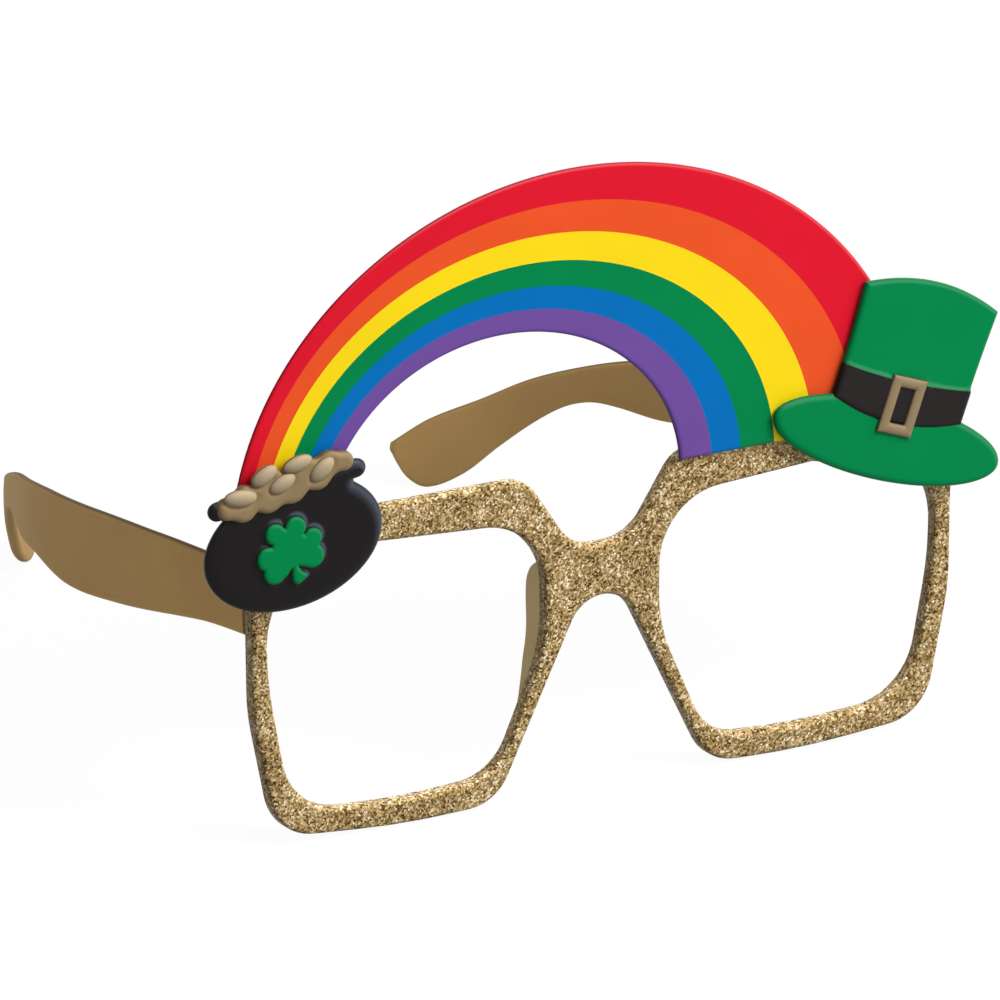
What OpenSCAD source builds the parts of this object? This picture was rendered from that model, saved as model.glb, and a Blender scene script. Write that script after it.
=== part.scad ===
// Novelty party glasses: a glitter frame without lenses, two folding temples, and
// a rainbow with a pot of gold at one foot and a tall green hat at the other.
// The front is drawn upright: x to the viewer's right, y to the rear, z up from the
// lowest point of the rims, with y = 0 in the middle of the frame's thickness.
// stand() then leans it back until the rims and both ear ends rest on one plane.

/* [Front frame] */
// Width of the front across the rims
front_w = 144.4; // [130:0.2:160]
// Height of the front
front_h = 60.7; // [56:0.1:66]
// Thickness of the front
frame_t = 3; // [2:0.1:4]
// Width of the rims at the temples
rim_side = 3.2; // [2.6:0.1:5]
// Height of the rims below the eyes
rim_bottom = 4.2; // [3.4:0.1:6.5]
// Height of the bar above the eyes
rim_top = 7.6; // [6:0.1:9]
// Distance between the two eye openings at the bridge
bridge_w = 23.4; // [20:0.2:27]
// Depth of the dip above the bridge, from the front's top
dip_depth = 14.7; // [11:0.1:18]
// Height of the bridge between its dip and its arch
bridge_h = 9.6; // [6:0.1:13]
// Half the distance between the lower nose corners
nose_foot_x = 21.9; // [20:0.1:25]
// Depth of the flats that the rims stand on
rest_flat = 0.2; // [0.1:0.05:0.4]

/* [Nose wings] */
// How far the nose wings reach behind the front
wing_depth = 3.6; // [2.5:0.1:6]
// Thickness of the nose wings
wing_t = 1.3; // [1:0.1:2]
// Outward slope of the nose wings
wing_flare = 0.3; // [0.1:0.05:0.6]

/* [Temples] */
// Thickness of the temples
temple_t = 2.4; // [2:0.1:3.2]
// Height of a temple at its hinge
temple_h = 13.8; // [12:0.2:16]
// Depth of the top of a temple below the front's top
temple_drop = 7.2; // [6:0.1:9]
// Length of the temple, along its curve
temple_len = 147; // [142:0.5:152]
// Angle by which the temples start outwards
toe_out = 6; // [3:0.5:8]
// Angle by which the temples bend inwards before the ears
bend_in = 20; // [10:1:24]
// Further angle by which the ends bend inwards round the ears
ear_turn = 26; // [15:1:36]
// Rise of the right temple's lower edge at its hinge
right_rise = 3.2; // [0:0.2:4.5]
// Gap between a temple's end and the front when open
end_gap = 0.4; // [0.3:0.05:0.6]

/* [Hinges] */
// Radius of the hinge knuckles
knuckle_r = 1.8; // [1.6:0.1:2.1]
// Height of a hinge
hinge_h = 6.6; // [6:0.1:7.4]
// Depth of the hinge's middle below the top of the temple
hinge_drop = 3.3; // [3.1:0.1:4.5]
// Radius of the hinge screw
screw_r = 0.7; // [0.5:0.05:0.9]
// Radius of the screw's head
screw_head_r = 1.3; // [1.1:0.1:1.6]
// Radial clearance of the screw in the temple's knuckle
screw_fit = 0.05; // [0.02:0.01:0.09]
// Gap above and below the temple's knuckle
knuckle_gap = 0.2; // [0.1:0.05:0.3]
// Thickness of the hinge plates
leaf_t = 1; // [0.8:0.1:1.3]

/* [Rainbow] */
// Thickness of the plate behind the bands
backing_t = 0.8; // [0.6:0.1:1.5]
// Thickness of the coloured bands
band_t = 0.8; // [0.6:0.1:1.5]
// Depth of the ellipse centres of the bands below the front's top
arch_drop = 3; // [0:0.1:6]
// Height of an arc over its half width
arch_ratio = 0.861; // [0.7:0.005:1]
// Distance of the left foot's inner edge from the front's left end
foot_inset = 13.9; // [10:0.1:18]
// Widths of the bands at the left foot, inside to outside
band_left_w = [3.3, 3.3, 3.3, 3.3, 3.2, 2.5];
// Distance of the right foot's inner edge from the front's right end
foot_reach = 57.1; // [54:0.1:60]
// Widths of the bands at the right foot, inside to outside
band_right_w = [6.3, 6, 7, 8.1, 9.3, 11.4];
// How far the right foot laps over the bar of the front
foot_lap = 1.1; // [0.6:0.1:2.5]

/* [Pot of gold] */
// Distance of the pot's middle from the front's left end
pot_inset = 6.9; // [3:0.1:9]
// Depth of the pot's middle below the front's top
pot_drop = 2.8; // [0:0.1:6]
// Width of the pot
pot_w = 36.3; // [30:0.1:42]
// Height of the pot's round body
pot_h = 24.2; // [20:0.1:28]
// Tilt of the pot
pot_tilt = 7; // [2:0.5:10]
// Thickness of the pot and of the hat
plate_t = 2; // [1.5:0.1:3]
// Half the length of the pot's rim
lip_x = 14.4; // [13.3:0.1:16]
// Radius of the pot's rim
lip_r = 1.8; // [1.4:0.1:2.4]
// Height of the pot's rim above its round body
lip_proud = 0.1; // [0:0.1:1]
// Thickness of the coin heap and the shamrock
relief_t = 1; // [0.6:0.1:1.6]
// Height of the domed coins
coin_dome = 0.8; // [0.4:0.1:1.5]

/* [Hat] */
// Distance of the brim's middle from the front's right end
hat_inset = 15.3; // [12:0.1:19]
// Depth of the brim's middle below the front's top
hat_drop = 4; // [1:0.1:7]
// Tilt of the hat
hat_tilt = -20.2; // [-26:0.2:-14]
// Length of the brim
brim_w = 49.6; // [42:0.2:54]
// Height of the brim
brim_h = 14.9; // [12:0.1:18]
// Half the width of the crown at the brim
crown_foot = 13.9; // [11:0.1:16]
// Half the width of the crown at its top
crown_head = 14.6; // [12:0.1:17]
// Height of the crown's upper corners above the brim's middle
crown_top = 27.2; // [24:0.2:31]
// Height by which the crown's top edge is domed
crown_dome = 2.9; // [1:0.1:4]
// Lower edge of the hat band at the crown's sides
hatband_low = 5.8; // [5.4:0.1:6.6]
// Height of the hat band
hatband_h = 6.3; // [5:0.1:8]
// Thickness of the hat band on the crown
hatband_t = 0.4; // [0.3:0.05:0.8]
// Width of the buckle
buckle_w = 7.5; // [6:0.1:9]
// Height of the buckle
buckle_h = 10.9; // [9:0.1:13]
// Width of the buckle's hole
buckle_hole_w = 3.1; // [2:0.1:4]
// Height of the buckle's hole
buckle_hole_h = 6.6; // [5:0.1:8]
// Thickness of the buckle
buckle_t = 0.7; // [0.5:0.1:1.2]

/* [Hidden] */

gold_glitter = "#B98F52";
gold_matt = "#8E7347";
pot_black = "#231F20";
leaf_green = "#00884A";
band_black = "#2F2A2A";
coin_gold = "#A8977A";
buckle_gold = "#9A7F5A";
band_colours = ["#714F9F", "#0672BD", "#00884A", "#FFDF1A", "#F15A29", "#E31E31"];

// Depths of the layers, from the front's own face towards the viewer
half_w = front_w / 2;
face_y = -frame_t / 2;
hinge_face = frame_t / 2;
backing_y = face_y - backing_t;
band_y = backing_y - band_t;
plate_y = band_y - plate_t;
relief_y = plate_y - relief_t;

// Heights and places that follow from the front's own
dip_z = front_h - dip_depth;
arch_z = dip_z - bridge_h;
temple_top = front_h - temple_drop;
temple_low = temple_top - temple_h;
hinge_z = temple_top - hinge_drop;
arch_centre_z = front_h - arch_drop;
foot_left = foot_inset - half_w;
foot_right = half_w - foot_reach;
pot_x = pot_inset - half_w;
pot_z = front_h - pot_drop;
lip_z = pot_h / 2 + lip_proud - lip_r;
hat_x = half_w - hat_inset;
hat_z = front_h - hat_drop;

// Points of an outline whose corners [x, z, radius] are rounded by arcs. Where the two arcs
// of an edge would meet, the edge limits their radii.
arc_step = 9;
function unit(v) = v / norm(v);
function corner(c, i) = c[(i + len(c)) % len(c)];
function spot(c, i) = [corner(c, i)[0], corner(c, i)[1]];
function half_angle(c, i) =
    acos(max(-1, min(1, unit(spot(c, i - 1) - spot(c, i)) * unit(spot(c, i + 1) - spot(c, i))))) / 2;
function arc_reach(c, i) = corner(c, i)[2] / tan(half_angle(c, i));
function edge_room(c, i) = norm(spot(c, i + 1) - spot(c, i)) / (arc_reach(c, i) + arc_reach(c, i + 1));
function corner_arc(c, i) =
    let (p = spot(c, i),
         a = unit(spot(c, i - 1) - p),
         b = unit(spot(c, i + 1) - p),
         half = half_angle(c, i),
         r = corner(c, i)[2] * min(1, 0.99 * edge_room(c, i - 1), 0.99 * edge_room(c, i)),
         middle = p + unit(a + b) * r / sin(half),
         from = p + a * r / tan(half) - middle,
         to = p + b * r / tan(half) - middle,
         start = atan2(from[1], from[0]),
         raw = atan2(to[1], to[0]) - start,
         sweep = raw > 180 ? raw - 360 : raw < -180 ? raw + 360 : raw,
         n = max(2, ceil(abs(sweep) / arc_step)))
    [for (k = [0:n]) middle + r * [cos(start + sweep * k / n), sin(start + sweep * k / n)]];
function rounded(c) = [for (i = [0:len(c) - 1]) each corner_arc(c, i)];

// A smooth curve through hand-set knots [s, value], as a value for any s
function knot_slope(k, i) =
    i == 0 ? (k[1][1] - k[0][1]) / (k[1][0] - k[0][0])
    : i == len(k) - 1 ? (k[i][1] - k[i - 1][1]) / (k[i][0] - k[i - 1][0])
    : (k[i + 1][1] - k[i - 1][1]) / (k[i + 1][0] - k[i - 1][0]);
function knot_piece(k, s, i = 0) = i >= len(k) - 2 || s <= k[i + 1][0] ? i : knot_piece(k, s, i + 1);
function curve(k, s) =
    let (i = knot_piece(k, s),
         w = k[i + 1][0] - k[i][0],
         t = (s - k[i][0]) / w,
         m0 = knot_slope(k, i) * w,
         m1 = knot_slope(k, i + 1) * w)
    (2 * t ^ 3 - 3 * t ^ 2 + 1) * k[i][1] + (t ^ 3 - 2 * t ^ 2 + t) * m0
    + (3 * t ^ 2 - 2 * t ^ 3) * k[i + 1][1] + (t ^ 3 - t ^ 2) * m1;

// A closed solid through rings of equal numbers of points
module loft(rings) {
    n = len(rings[0]);
    last = len(rings) - 1;
    points = [for (ring = rings) each ring];
    walls = [for (i = [0:last - 1], j = [0:n - 1])
             let (a = i * n + j, b = i * n + (j + 1) % n)
             each [[a, b, a + n], [b, b + n, a + n]]];
    polyhedron(points = points, convexity = 6, faces = concat(
        walls,
        [[for (j = [n - 1:-1:0]) j]],
        [[for (j = [0:n - 1]) last * n + j]]));
}

// A flat outline in x and z, made a plate between two depths
module plate(front, back) {
    translate([0, back, 0]) rotate([90, 0, 0]) linear_extrude(back - front) union() children();
}

module mirrored(side) {
    if (side < 0) mirror([1, 0, 0]) children();
    else children();
}

// Front frame
rim_bow = 0.27;
outer_side = [
    [6, dip_z, 9],
    [15.7, front_h, 6.5],
    [half_w + 1, front_h, 7],
    [half_w + 0.1, front_h - 18, 60],
    [half_w - 0.2, front_h - 35, 40],
    [half_w - 5.2, 1.9, 10],
    [40, -rim_bow, 170],
    [nose_foot_x, 0.6, 9]];
arch_r = 7;
arch_slope = 63.5;
arch_peak = arch_z + arch_r / cos(arch_slope) - arch_r;
opening_side = [
    [bridge_w / 2 + 0.3, front_h - rim_top - 1, 13],
    [half_w + 0.2 - rim_side, front_h - rim_top + 2.4, 16],
    [half_w - 0.2 - rim_side, front_h - 29.5, 60],
    [half_w - 5.1 - rim_side, rim_bottom + 2, 13],
    [40, rim_bottom, 150],
    [nose_foot_x - 0.1, rim_bottom + 1.6, 11],
    [bridge_w / 2, arch_z - 7.8, 30]];
function flipped(c) = [for (i = [len(c) - 1:-1:0]) [-c[i][0], c[i][1], c[i][2]]];

module front_frame() {
    color(gold_glitter) difference() {
        stand() plate(face_y, -face_y) difference() {
            polygon(rounded(concat(outer_side, [[0, arch_peak, arch_r]], flipped(outer_side))));
            polygon(rounded(opening_side));
            polygon(rounded(flipped(opening_side)));
        }
        translate([-front_w, -front_w / 2, -2]) cube([2 * front_w, front_w, 2]);
    }
}

// Nose wings: thin curved fins behind the nose side of each opening
wing_high = dip_z - 2;
wing_len = 28;
wing_steps = 14;
// Its edge and its depth as a share of wing_depth, by the distance below its top
wing_edge_knots = [[0, 0], [8, -0.1], [15, 0.4], [20, 1.8], [24, 3.3], [wing_len, 4.9]];
wing_depth_knots = [[0, 0.1], [2, 0.7], [5.5, 1], [13, 0.9], [18.5, 0.74], [25.5, 0.24], [wing_len, 0.1]];
function wing_ring(down) =
    let (z = wing_high - down,
         edge = bridge_w / 2 + curve(wing_edge_knots, down) - wing_t,
         d = wing_depth * curve(wing_depth_knots, down),
         out = wing_flare * d,
         back = hinge_face)
    [[edge, back, z], [edge + wing_t, back, z],
     [edge + wing_t + out, back + d - wing_t / 3, z], [edge + 0.7 * wing_t + out, back + d, z],
     [edge + 0.3 * wing_t + out, back + d, z], [edge + out, back + d - wing_t / 3, z]];

module nose_wing(side) {
    color(gold_matt) stand() mirrored(side)
        loft([for (i = [0:wing_steps]) wing_ring(wing_len * (1 - i / wing_steps))]);
}

// Temples: outwards behind the rims, straight back, a gentle bend inwards, then round the ears
temple_x = half_w - 0.8;
temple_y0 = hinge_face + 1.2;
heading_knots = [[-3, -toe_out], [16, -toe_out], [32, 0], [50, 1], [88, bend_in], [106, bend_in + 2],
                 [temple_len, bend_in + 2 + ear_turn]];
function heading(s) = lookup(s, heading_knots);
function way(s) = [-sin(heading(s)), cos(heading(s))];
route_step = 1;
route = [for (s = 0, p = [temple_x, temple_y0];
              s <= temple_len + route_step;
              p = p + route_step * way(s + route_step / 2), s = s + route_step) p];
function route_at(s) =
    let (i = max(0, min(len(route) - 2, floor(s / route_step))))
    route[i] + (s / route_step - i) * (route[i + 1] - route[i]);
temple_start = (end_gap - 1.2) / cos(toe_out);
// Edges of the temple by the distance along it, from the hinge to the tip
temple_top_knots = [[-3, temple_top - 0.7], [20, temple_top - 1.5], [30, temple_top - 2.3],
                    [50, temple_top - 4.4], [70, temple_top - 7.1],
                    [80, temple_top - 9], [90, temple_top - 11.3],
                    [100, temple_top - 13.7], [110, temple_top - 17], [120, temple_top - 21],
                    [130, temple_top - 26.3], [140, temple_top - 31.3], [temple_len, temple_top - 36.3]];
temple_bottom_knots = [[-3, temple_low + 0.5], [10, temple_low - 0.3], [20, temple_low - 1.8],
                       [40, temple_low - 5.5], [60, temple_low - 8.1], [78, temple_low - 7.9],
                       [90, temple_low - 9], [100, temple_low - 8.6], [106, temple_low - 8.9],
                       [112, temple_low - 10.9], [118.5, temple_low - 15], [126, temple_low - 21],
                       [133, temple_low - 27.1], [140, temple_low - 30.4], [144, temple_low - 28.7],
                       [temple_len, temple_low - 24.1]];
temple_round = 0.8;
// The right temple's lower edge starts higher and meets the left one's course here
rise_from = 16;
rise_to = 64;
function rise_share(s) =
    s < rise_from ? 1 : s > rise_to ? 0 : (1 + cos(180 * (s - rise_from) / (rise_to - rise_from))) / 2;
// Cross-section at a distance along the temple: a flat bar with rounded edges
function temple_ring(s, rise) =
    let (mid = route_at(s),
         n = [cos(heading(s)), sin(heading(s))],
         hi = curve(temple_top_knots, s),
         lo = curve(temple_bottom_knots, s) + rise * rise_share(s),
         h = max(0.3, hi - lo),
         r = min(temple_round, h / 2.5),
         t = min(temple_t / 2, 0.5 + h / 6),
         zs = [lo, lo + 0.3 * r, lo + r, hi - r, hi - 0.3 * r, hi],
         ts = [t - r, t - 0.3 * r, t, t, t - 0.3 * r, t - r])
    concat([for (i = [0:5]) [mid[0] + n[0] * ts[i], mid[1] + n[1] * ts[i], zs[i]]],
           [for (i = [5:-1:0]) [mid[0] - n[0] * ts[i], mid[1] - n[1] * ts[i], zs[i]]]);
temple_stations = concat([temple_start], [for (s = [4:4:136]) s],
                         [for (k = [1:8]) 136 + (temple_len - 136) * sin(k * 90 / 8)]);

// How the glasses stand: on the rims' flats and the low ends of both temples
function ear_slope(s) =
    atan((curve(temple_bottom_knots, s) - rest_flat)
         / (route_at(s)[1] + (temple_t / 2 - temple_round) * sin(heading(s)) - hinge_face));
lean = min([for (s = temple_stations) if (s > temple_len / 2) ear_slope(s)]);
drop = hinge_face * sin(lean) - rest_flat;
// The origin lies under the middle of the whole object's box
pot_left = pot_x - norm([pot_w / 2 * cos(pot_tilt), pot_h / 2 * sin(pot_tilt)]);
hat_right = hat_x + norm([brim_w / 2 * cos(hat_tilt), brim_h / 2 * sin(hat_tilt)]);
origin_x = (pot_left + hat_right) / 2;
origin_y = 69.3;

module stand() {
    translate([-origin_x, -origin_y, drop]) rotate([-lean, 0, 0]) children();
}

module temple(side) {
    rise = side > 0 ? right_rise : 0;
    color(gold_matt) stand() mirrored(side) loft([for (s = temple_stations) temple_ring(s, rise)]);
}

// Hinges: a bracket with two knuckles behind the front, one knuckle on the temple
hinge_reach = knuckle_r + 0.3 + leaf_t;
hinge_x = temple_x - temple_t / 2 - hinge_reach - 0.25;
hinge_y = hinge_face + leaf_t + knuckle_r + 1.1;
knuckle_h = hinge_h * 0.36;
bracket_in = 1.2;
bracket_w = 4.2;
arm_w = 2.4;
hinge_low = hinge_z - hinge_h / 2;

module knuckle(low, high) {
    translate([hinge_x, hinge_y, low]) cylinder(r = knuckle_r, h = high - low, $fn = 48);
}

module bracket_arm(low, high) {
    knuckle(low, high);
    translate([hinge_x - arm_w / 2, hinge_face, low]) cube([arm_w, hinge_y - hinge_face, high - low]);
}

module hinge_bracket(side) {
    color(gold_matt) stand() mirrored(side) difference() {
        union() {
            translate([hinge_x - bracket_in, hinge_face, hinge_low]) cube([bracket_w, leaf_t, hinge_h]);
            bracket_arm(hinge_low, hinge_z - knuckle_h / 2);
            bracket_arm(hinge_z + knuckle_h / 2, hinge_low + hinge_h);
        }
        translate([hinge_x, hinge_y, hinge_low - 1]) cylinder(r = screw_r, h = hinge_h + 2, $fn = 32);
    }
}

module hinge_screw(side) {
    head_h = 0.8;
    slot_w = 0.4;
    top = hinge_low + hinge_h;
    color(buckle_gold) stand() mirrored(side) difference() {
        union() {
            translate([hinge_x, hinge_y, hinge_low]) cylinder(r = screw_r, h = hinge_h, $fn = 32);
            translate([hinge_x, hinge_y, top]) cylinder(r = screw_head_r, h = head_h, $fn = 32);
        }
        translate([hinge_x - screw_head_r - 1, hinge_y - slot_w / 2, top + head_h / 2])
            cube([2 * screw_head_r + 2, slot_w, head_h]);
    }
}

leaf_len = 12;
leaf_h = 4.6;
module temple_knuckle(side) {
    low = hinge_z - knuckle_h / 2 + knuckle_gap;
    high = hinge_z + knuckle_h / 2 - knuckle_gap;
    leaf_x = temple_x - temple_t / 2 - leaf_t / 2 + (hinge_y - temple_y0) * tan(toe_out);
    color(gold_matt) stand() mirrored(side) difference() {
        union() {
            knuckle(low, high);
            translate([temple_x, temple_y0, 0]) rotate([0, 0, -toe_out])
                translate([-temple_t / 2 - leaf_t, 0.8, hinge_z - leaf_h / 2])
                    cube([leaf_t, leaf_len, leaf_h]);
            translate([hinge_x, hinge_y - arm_w / 2, low]) cube([leaf_x - hinge_x, arm_w, high - low]);
        }
        translate([hinge_x, hinge_y, low - 1])
            cylinder(r = screw_r + screw_fit, h = high - low + 2, $fn = 32);
    }
}

// Rainbow: each edge is half an ellipse on a common base line
function band_left(k) = k == 0 ? foot_left : band_left(k - 1) - band_left_w[k - 1];
function band_right(k) = k == 0 ? foot_right : band_right(k - 1) + band_right_w[k - 1];
arch_steps = 60;
function arch_edge(k, backwards) =
    let (left = band_left(k), right = band_right(k), a = (right - left) / 2, mid = (right + left) / 2)
    [for (i = [0:arch_steps])
     let (t = 180 * (backwards ? arch_steps - i : i) / arch_steps)
     [mid + a * cos(t), arch_centre_z + a * arch_ratio * sin(t)]];
module arch(inner, outer) {
    polygon(concat(arch_edge(outer, false), arch_edge(inner, true)));
}
foot_z = front_h - foot_lap;
foot_hidden = 5;
heap_foot_z = pot_z + foot_hidden;

module rainbow_band(k) {
    color(band_colours[k]) stand() plate(band_y, backing_y) difference() {
        arch(k, k + 1);
        translate([0, foot_z - front_h]) square([front_w, front_h]);
        translate([-front_w, heap_foot_z - front_h]) square([front_w, front_h]);
    }
}

// The backing is one outline: the arch, and a foot behind the pot and behind the hat
function above_foot(edge) = [for (p = edge) if (p[1] > (p[0] > 0 ? foot_z : heap_foot_z) + 0.5) p];
pot_foot_w = [6, 8];
pot_foot_z = pot_z - foot_hidden;
pot_foot = [[band_left(6), heap_foot_z], [pot_x - pot_foot_w[0], pot_foot_z],
            [pot_x + pot_foot_w[1], pot_foot_z], [band_left(0), heap_foot_z]];
hat_foot_w = [5, 8];
hat_foot_h = [2, 3];
hat_foot = [[band_right(0), foot_z], [band_right(4), foot_z], [hat_x - hat_foot_w[0], hat_z - hat_foot_h[0]],
            [hat_x + hat_foot_w[1], hat_z - hat_foot_h[1]], [band_right(6), foot_z]];
module rainbow_backing() {
    color(pot_black) stand() plate(backing_y, face_y)
        polygon(concat(above_foot(arch_edge(6, false)), pot_foot, above_foot(arch_edge(0, true)), hat_foot));
}

// Pot of gold, drawn level about its middle and then tilted
module pot_place() {
    translate([pot_x, pot_z]) rotate(pot_tilt) children();
}

function ellipse_points(a, b, n = 72) = [for (i = [0:n - 1]) [a * cos(360 * i / n), b * sin(360 * i / n)]];

module pot_outline() {
    neck_x = lip_x - 1;
    polygon(ellipse_points(pot_w / 2, pot_h / 2));
    translate([-neck_x, 0]) square([2 * neck_x, lip_z]);
    translate([-lip_x, lip_z - lip_r]) square([2 * lip_x, 2 * lip_r]);
    for (side = [-1, 1]) translate([side * lip_x, lip_z]) circle(lip_r, $fn = 40);
}

// Round lobes of the coin heap [across, above the rim's middle, radius]
heap_lobes = [[-12.8, 0.3, 2.2], [-9.6, -0.6, 2.6], [-4.4, 0.4, 3.3], [0.4, 0.8, 3.3], [5.8, 1.5, 3],
              [11.5, 2.5, 2], [8.6, 3, 2.4], [2.9, 3.4, 2.6], [-3.6, 3.1, 2.6], [-8.8, 1.3, 2.5]];
module heap_outline() {
    translate([0, lip_z]) {
        polygon([for (lobe = heap_lobes) [lobe[0], lobe[1]]]);
        for (lobe = heap_lobes) translate([lobe[0], lobe[1]]) circle(lobe[2], $fn = 40);
    }
}

module pot_body() {
    color(pot_black) stand() {
        plate(plate_y, band_y) pot_place() pot_outline();
        plate(band_y, backing_y) pot_place() polygon(ellipse_points(10, foot_hidden - 0.6));
    }
}

module coin_heap() {
    color(coin_gold) stand() {
        plate(relief_y, plate_y) pot_place() heap_outline();
        plate(plate_y, band_y) pot_place() intersection() {
            heap_outline();
            translate([1 - lip_x, lip_z + lip_r]) square([2 * lip_x - 2, pot_h]);
        }
    }
}

// Coins of the heap [across, above the rim's middle, half length, half width, tilt]
coins = [[-10.4, 2, 3.3, 1.6, -10], [-5.2, 4.8, 2.75, 1.5, 22], [-1.8, 2.3, 2.8, 1.5, 17],
         [1.7, 5.1, 3, 1.45, 7], [6.4, 2.6, 2.85, 1.6, 30]];
coin_rings = 5;
module coin(i) {
    c = coins[i];
    color(coin_gold) stand() translate([pot_x, relief_y, pot_z]) rotate([0, -pot_tilt, 0])
        translate([c[0], 0, lip_z + c[1]]) rotate([0, -c[4], 0])
        loft([for (k = [0:coin_rings])
              let (t = 85 * k / coin_rings)
              [for (p = ellipse_points(c[2] * cos(t), c[3] * cos(t), 32))
                   [p[0], -coin_dome * sin(t), p[1]]]]);
}

// Shamrock: round lobes [across, up, radius] in three pairs, and the leaves' outline through
// their middles, with a cleft between the lobes of a leaf and a notch between two leaves
leaf_lobes = [[0, 3.6, 2.1], [-4.2, 3.5, 2], [-6.2, -0.7, 2.2], [-5.1, -3.5, 2.3],
              [2.8, -2.6, 2.3], [3.2, 0.7, 1.9]];
leaf_clefts = [[-2.3, 4.1], [-7.4, -2.4], [4.4, -1.2]];
leaf_notches = [[[-5.2, 1.3]], [[-3.1, -5.1], [-1.8, -3.8], [-0.2, -3.7], [1.4, -4.4]], [[1.4, 2]]];
stem = [[-1.6, -3], [-1.8, -5.9], [-1.5, -6.7], [-1, -7], [-0.4, -7],
        [1, -6.3], [1.3, -6], [1.1, -5.4], [0.2, -4.7], [-0.5, -3.4]];
module shamrock() {
    color(leaf_green) stand() plate(relief_y, plate_y) pot_place() {
        polygon([for (i = [0:2]) each [
            [leaf_lobes[2 * i][0], leaf_lobes[2 * i][1]],
            leaf_clefts[i],
            [leaf_lobes[2 * i + 1][0], leaf_lobes[2 * i + 1][1]],
            each leaf_notches[i]]]);
        for (lobe = leaf_lobes) translate([lobe[0], lobe[1]]) circle(lobe[2], $fn = 40);
        polygon(stem);
    }
}

// Hat, drawn level about the middle of its brim and then tilted
module hat_place() {
    translate([hat_x, hat_z]) rotate(hat_tilt) children();
}

// Points of a shallow arc between two ends, bulging by a rise
function bulge(from, to, rise, n = 20) =
    [for (i = [0:n]) let (t = i / n, d = to - from)
     from + d * t + [-d[1], d[0]] / norm(d) * rise * (1 - (2 * t - 1) ^ 2)];
crown_width = crown_head - crown_foot;
function crown_half(v) = crown_foot + crown_width * ((v - hatband_low) / (crown_top - hatband_low)) ^ 2;
hatband_sag_low = 2.5;
hatband_sag_high = 0.9;
hatband_high = hatband_low + hatband_h;

module crown_part(low, low_sag, high, high_sag) {
    polygon(concat(
        bulge([-crown_half(low), low], [crown_half(low), low], -low_sag),
        [for (i = [1:9]) let (v = low + (high - low) * i / 10) [crown_half(v), v]],
        bulge([crown_half(high), high], [-crown_half(high), high], high_sag),
        [for (i = [9:-1:1]) let (v = low + (high - low) * i / 10) [-crown_half(v), v]]));
}

module hat_crown() {
    color(leaf_green) stand() plate(plate_y, band_y)
        hat_place() crown_part(hatband_low, hatband_sag_low, crown_top, -crown_dome);
}

hatband_y = plate_y - hatband_t;
module hat_band() {
    color(band_black) stand() plate(hatband_y, plate_y)
        hat_place() crown_part(hatband_low, hatband_sag_low, hatband_high, hatband_sag_high);
}

module hat_brim() {
    color(leaf_green) stand() {
        plate(plate_y, band_y) difference() {
            hat_place() polygon(ellipse_points(brim_w / 2, brim_h / 2));
            hat_place() crown_part(hatband_low, hatband_sag_low, crown_top, -crown_dome);
        }
        plate(band_y, backing_y) polygon([[hat_x - 4, hat_z - 1.5], [hat_x + 6, hat_z - 1.5],
                                          [hat_x + 9, hat_z - 2.6], [hat_x - 3, hat_z - 2]]);
    }
}

buckle_u = 0.15;
buckle_v = 6.85;
module hat_buckle() {
    color(buckle_gold) stand() plate(hatband_y - buckle_t, hatband_y)
        hat_place() translate([buckle_u, buckle_v]) difference() {
            square([buckle_w, buckle_h], center = true);
            square([buckle_hole_w, buckle_hole_h], center = true);
        }
}

front_frame();
nose_wing(-1);  // nose_wing_left
nose_wing(1);  // nose_wing_right
hinge_bracket(-1);  // hinge_bracket_left
hinge_bracket(1);  // hinge_bracket_right
hinge_screw(-1);  // hinge_screw_left
hinge_screw(1);  // hinge_screw_right
temple(-1);  // temple_left
temple(1);  // temple_right
temple_knuckle(-1);  // temple_knuckle_left
temple_knuckle(1);  // temple_knuckle_right
rainbow_backing();
rainbow_band(0);  // rainbow_purple
rainbow_band(1);  // rainbow_blue
rainbow_band(2);  // rainbow_green
rainbow_band(3);  // rainbow_yellow
rainbow_band(4);  // rainbow_orange
rainbow_band(5);  // rainbow_red
pot_body();
coin_heap();
coin(0);  // coin_1
coin(1);  // coin_2
coin(2);  // coin_3
coin(3);  // coin_4
coin(4);  // coin_5
shamrock();
hat_crown();
hat_brim();
hat_band();
hat_buckle();
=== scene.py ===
"""Novelty rainbow glasses: their looks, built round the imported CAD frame.

Lengths are millimetres in the front's own upright frame, as the part's source draws it: x to the
viewer's right, y to the rear and z up from the rims. Stand leans that frame back and turns it
into metres in the row's frame, and every mesh passes through it last.
"""

import logging
import math
from dataclasses import dataclass
from enum import Enum
from functools import partialmethod
from typing import Any, Sequence

import bmesh
import bpy
import numpy as np
from mathutils import Matrix, Vector
from mathutils.geometry import delaunay_2d_cdt


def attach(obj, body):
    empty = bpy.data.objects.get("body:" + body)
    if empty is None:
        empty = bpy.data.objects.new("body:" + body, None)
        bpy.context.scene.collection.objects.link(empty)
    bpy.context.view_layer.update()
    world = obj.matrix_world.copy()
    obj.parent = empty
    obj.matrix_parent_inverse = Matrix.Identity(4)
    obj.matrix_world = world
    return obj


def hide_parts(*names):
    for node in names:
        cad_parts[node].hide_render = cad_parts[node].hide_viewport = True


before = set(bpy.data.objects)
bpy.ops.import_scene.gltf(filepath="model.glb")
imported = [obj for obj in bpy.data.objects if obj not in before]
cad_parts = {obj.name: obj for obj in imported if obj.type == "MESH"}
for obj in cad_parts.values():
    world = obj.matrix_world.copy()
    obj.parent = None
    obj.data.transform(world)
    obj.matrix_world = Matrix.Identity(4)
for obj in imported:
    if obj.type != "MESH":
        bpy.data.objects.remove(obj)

Tree = bpy.types.NodeTree
Socket = bpy.types.NodeSocket

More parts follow.
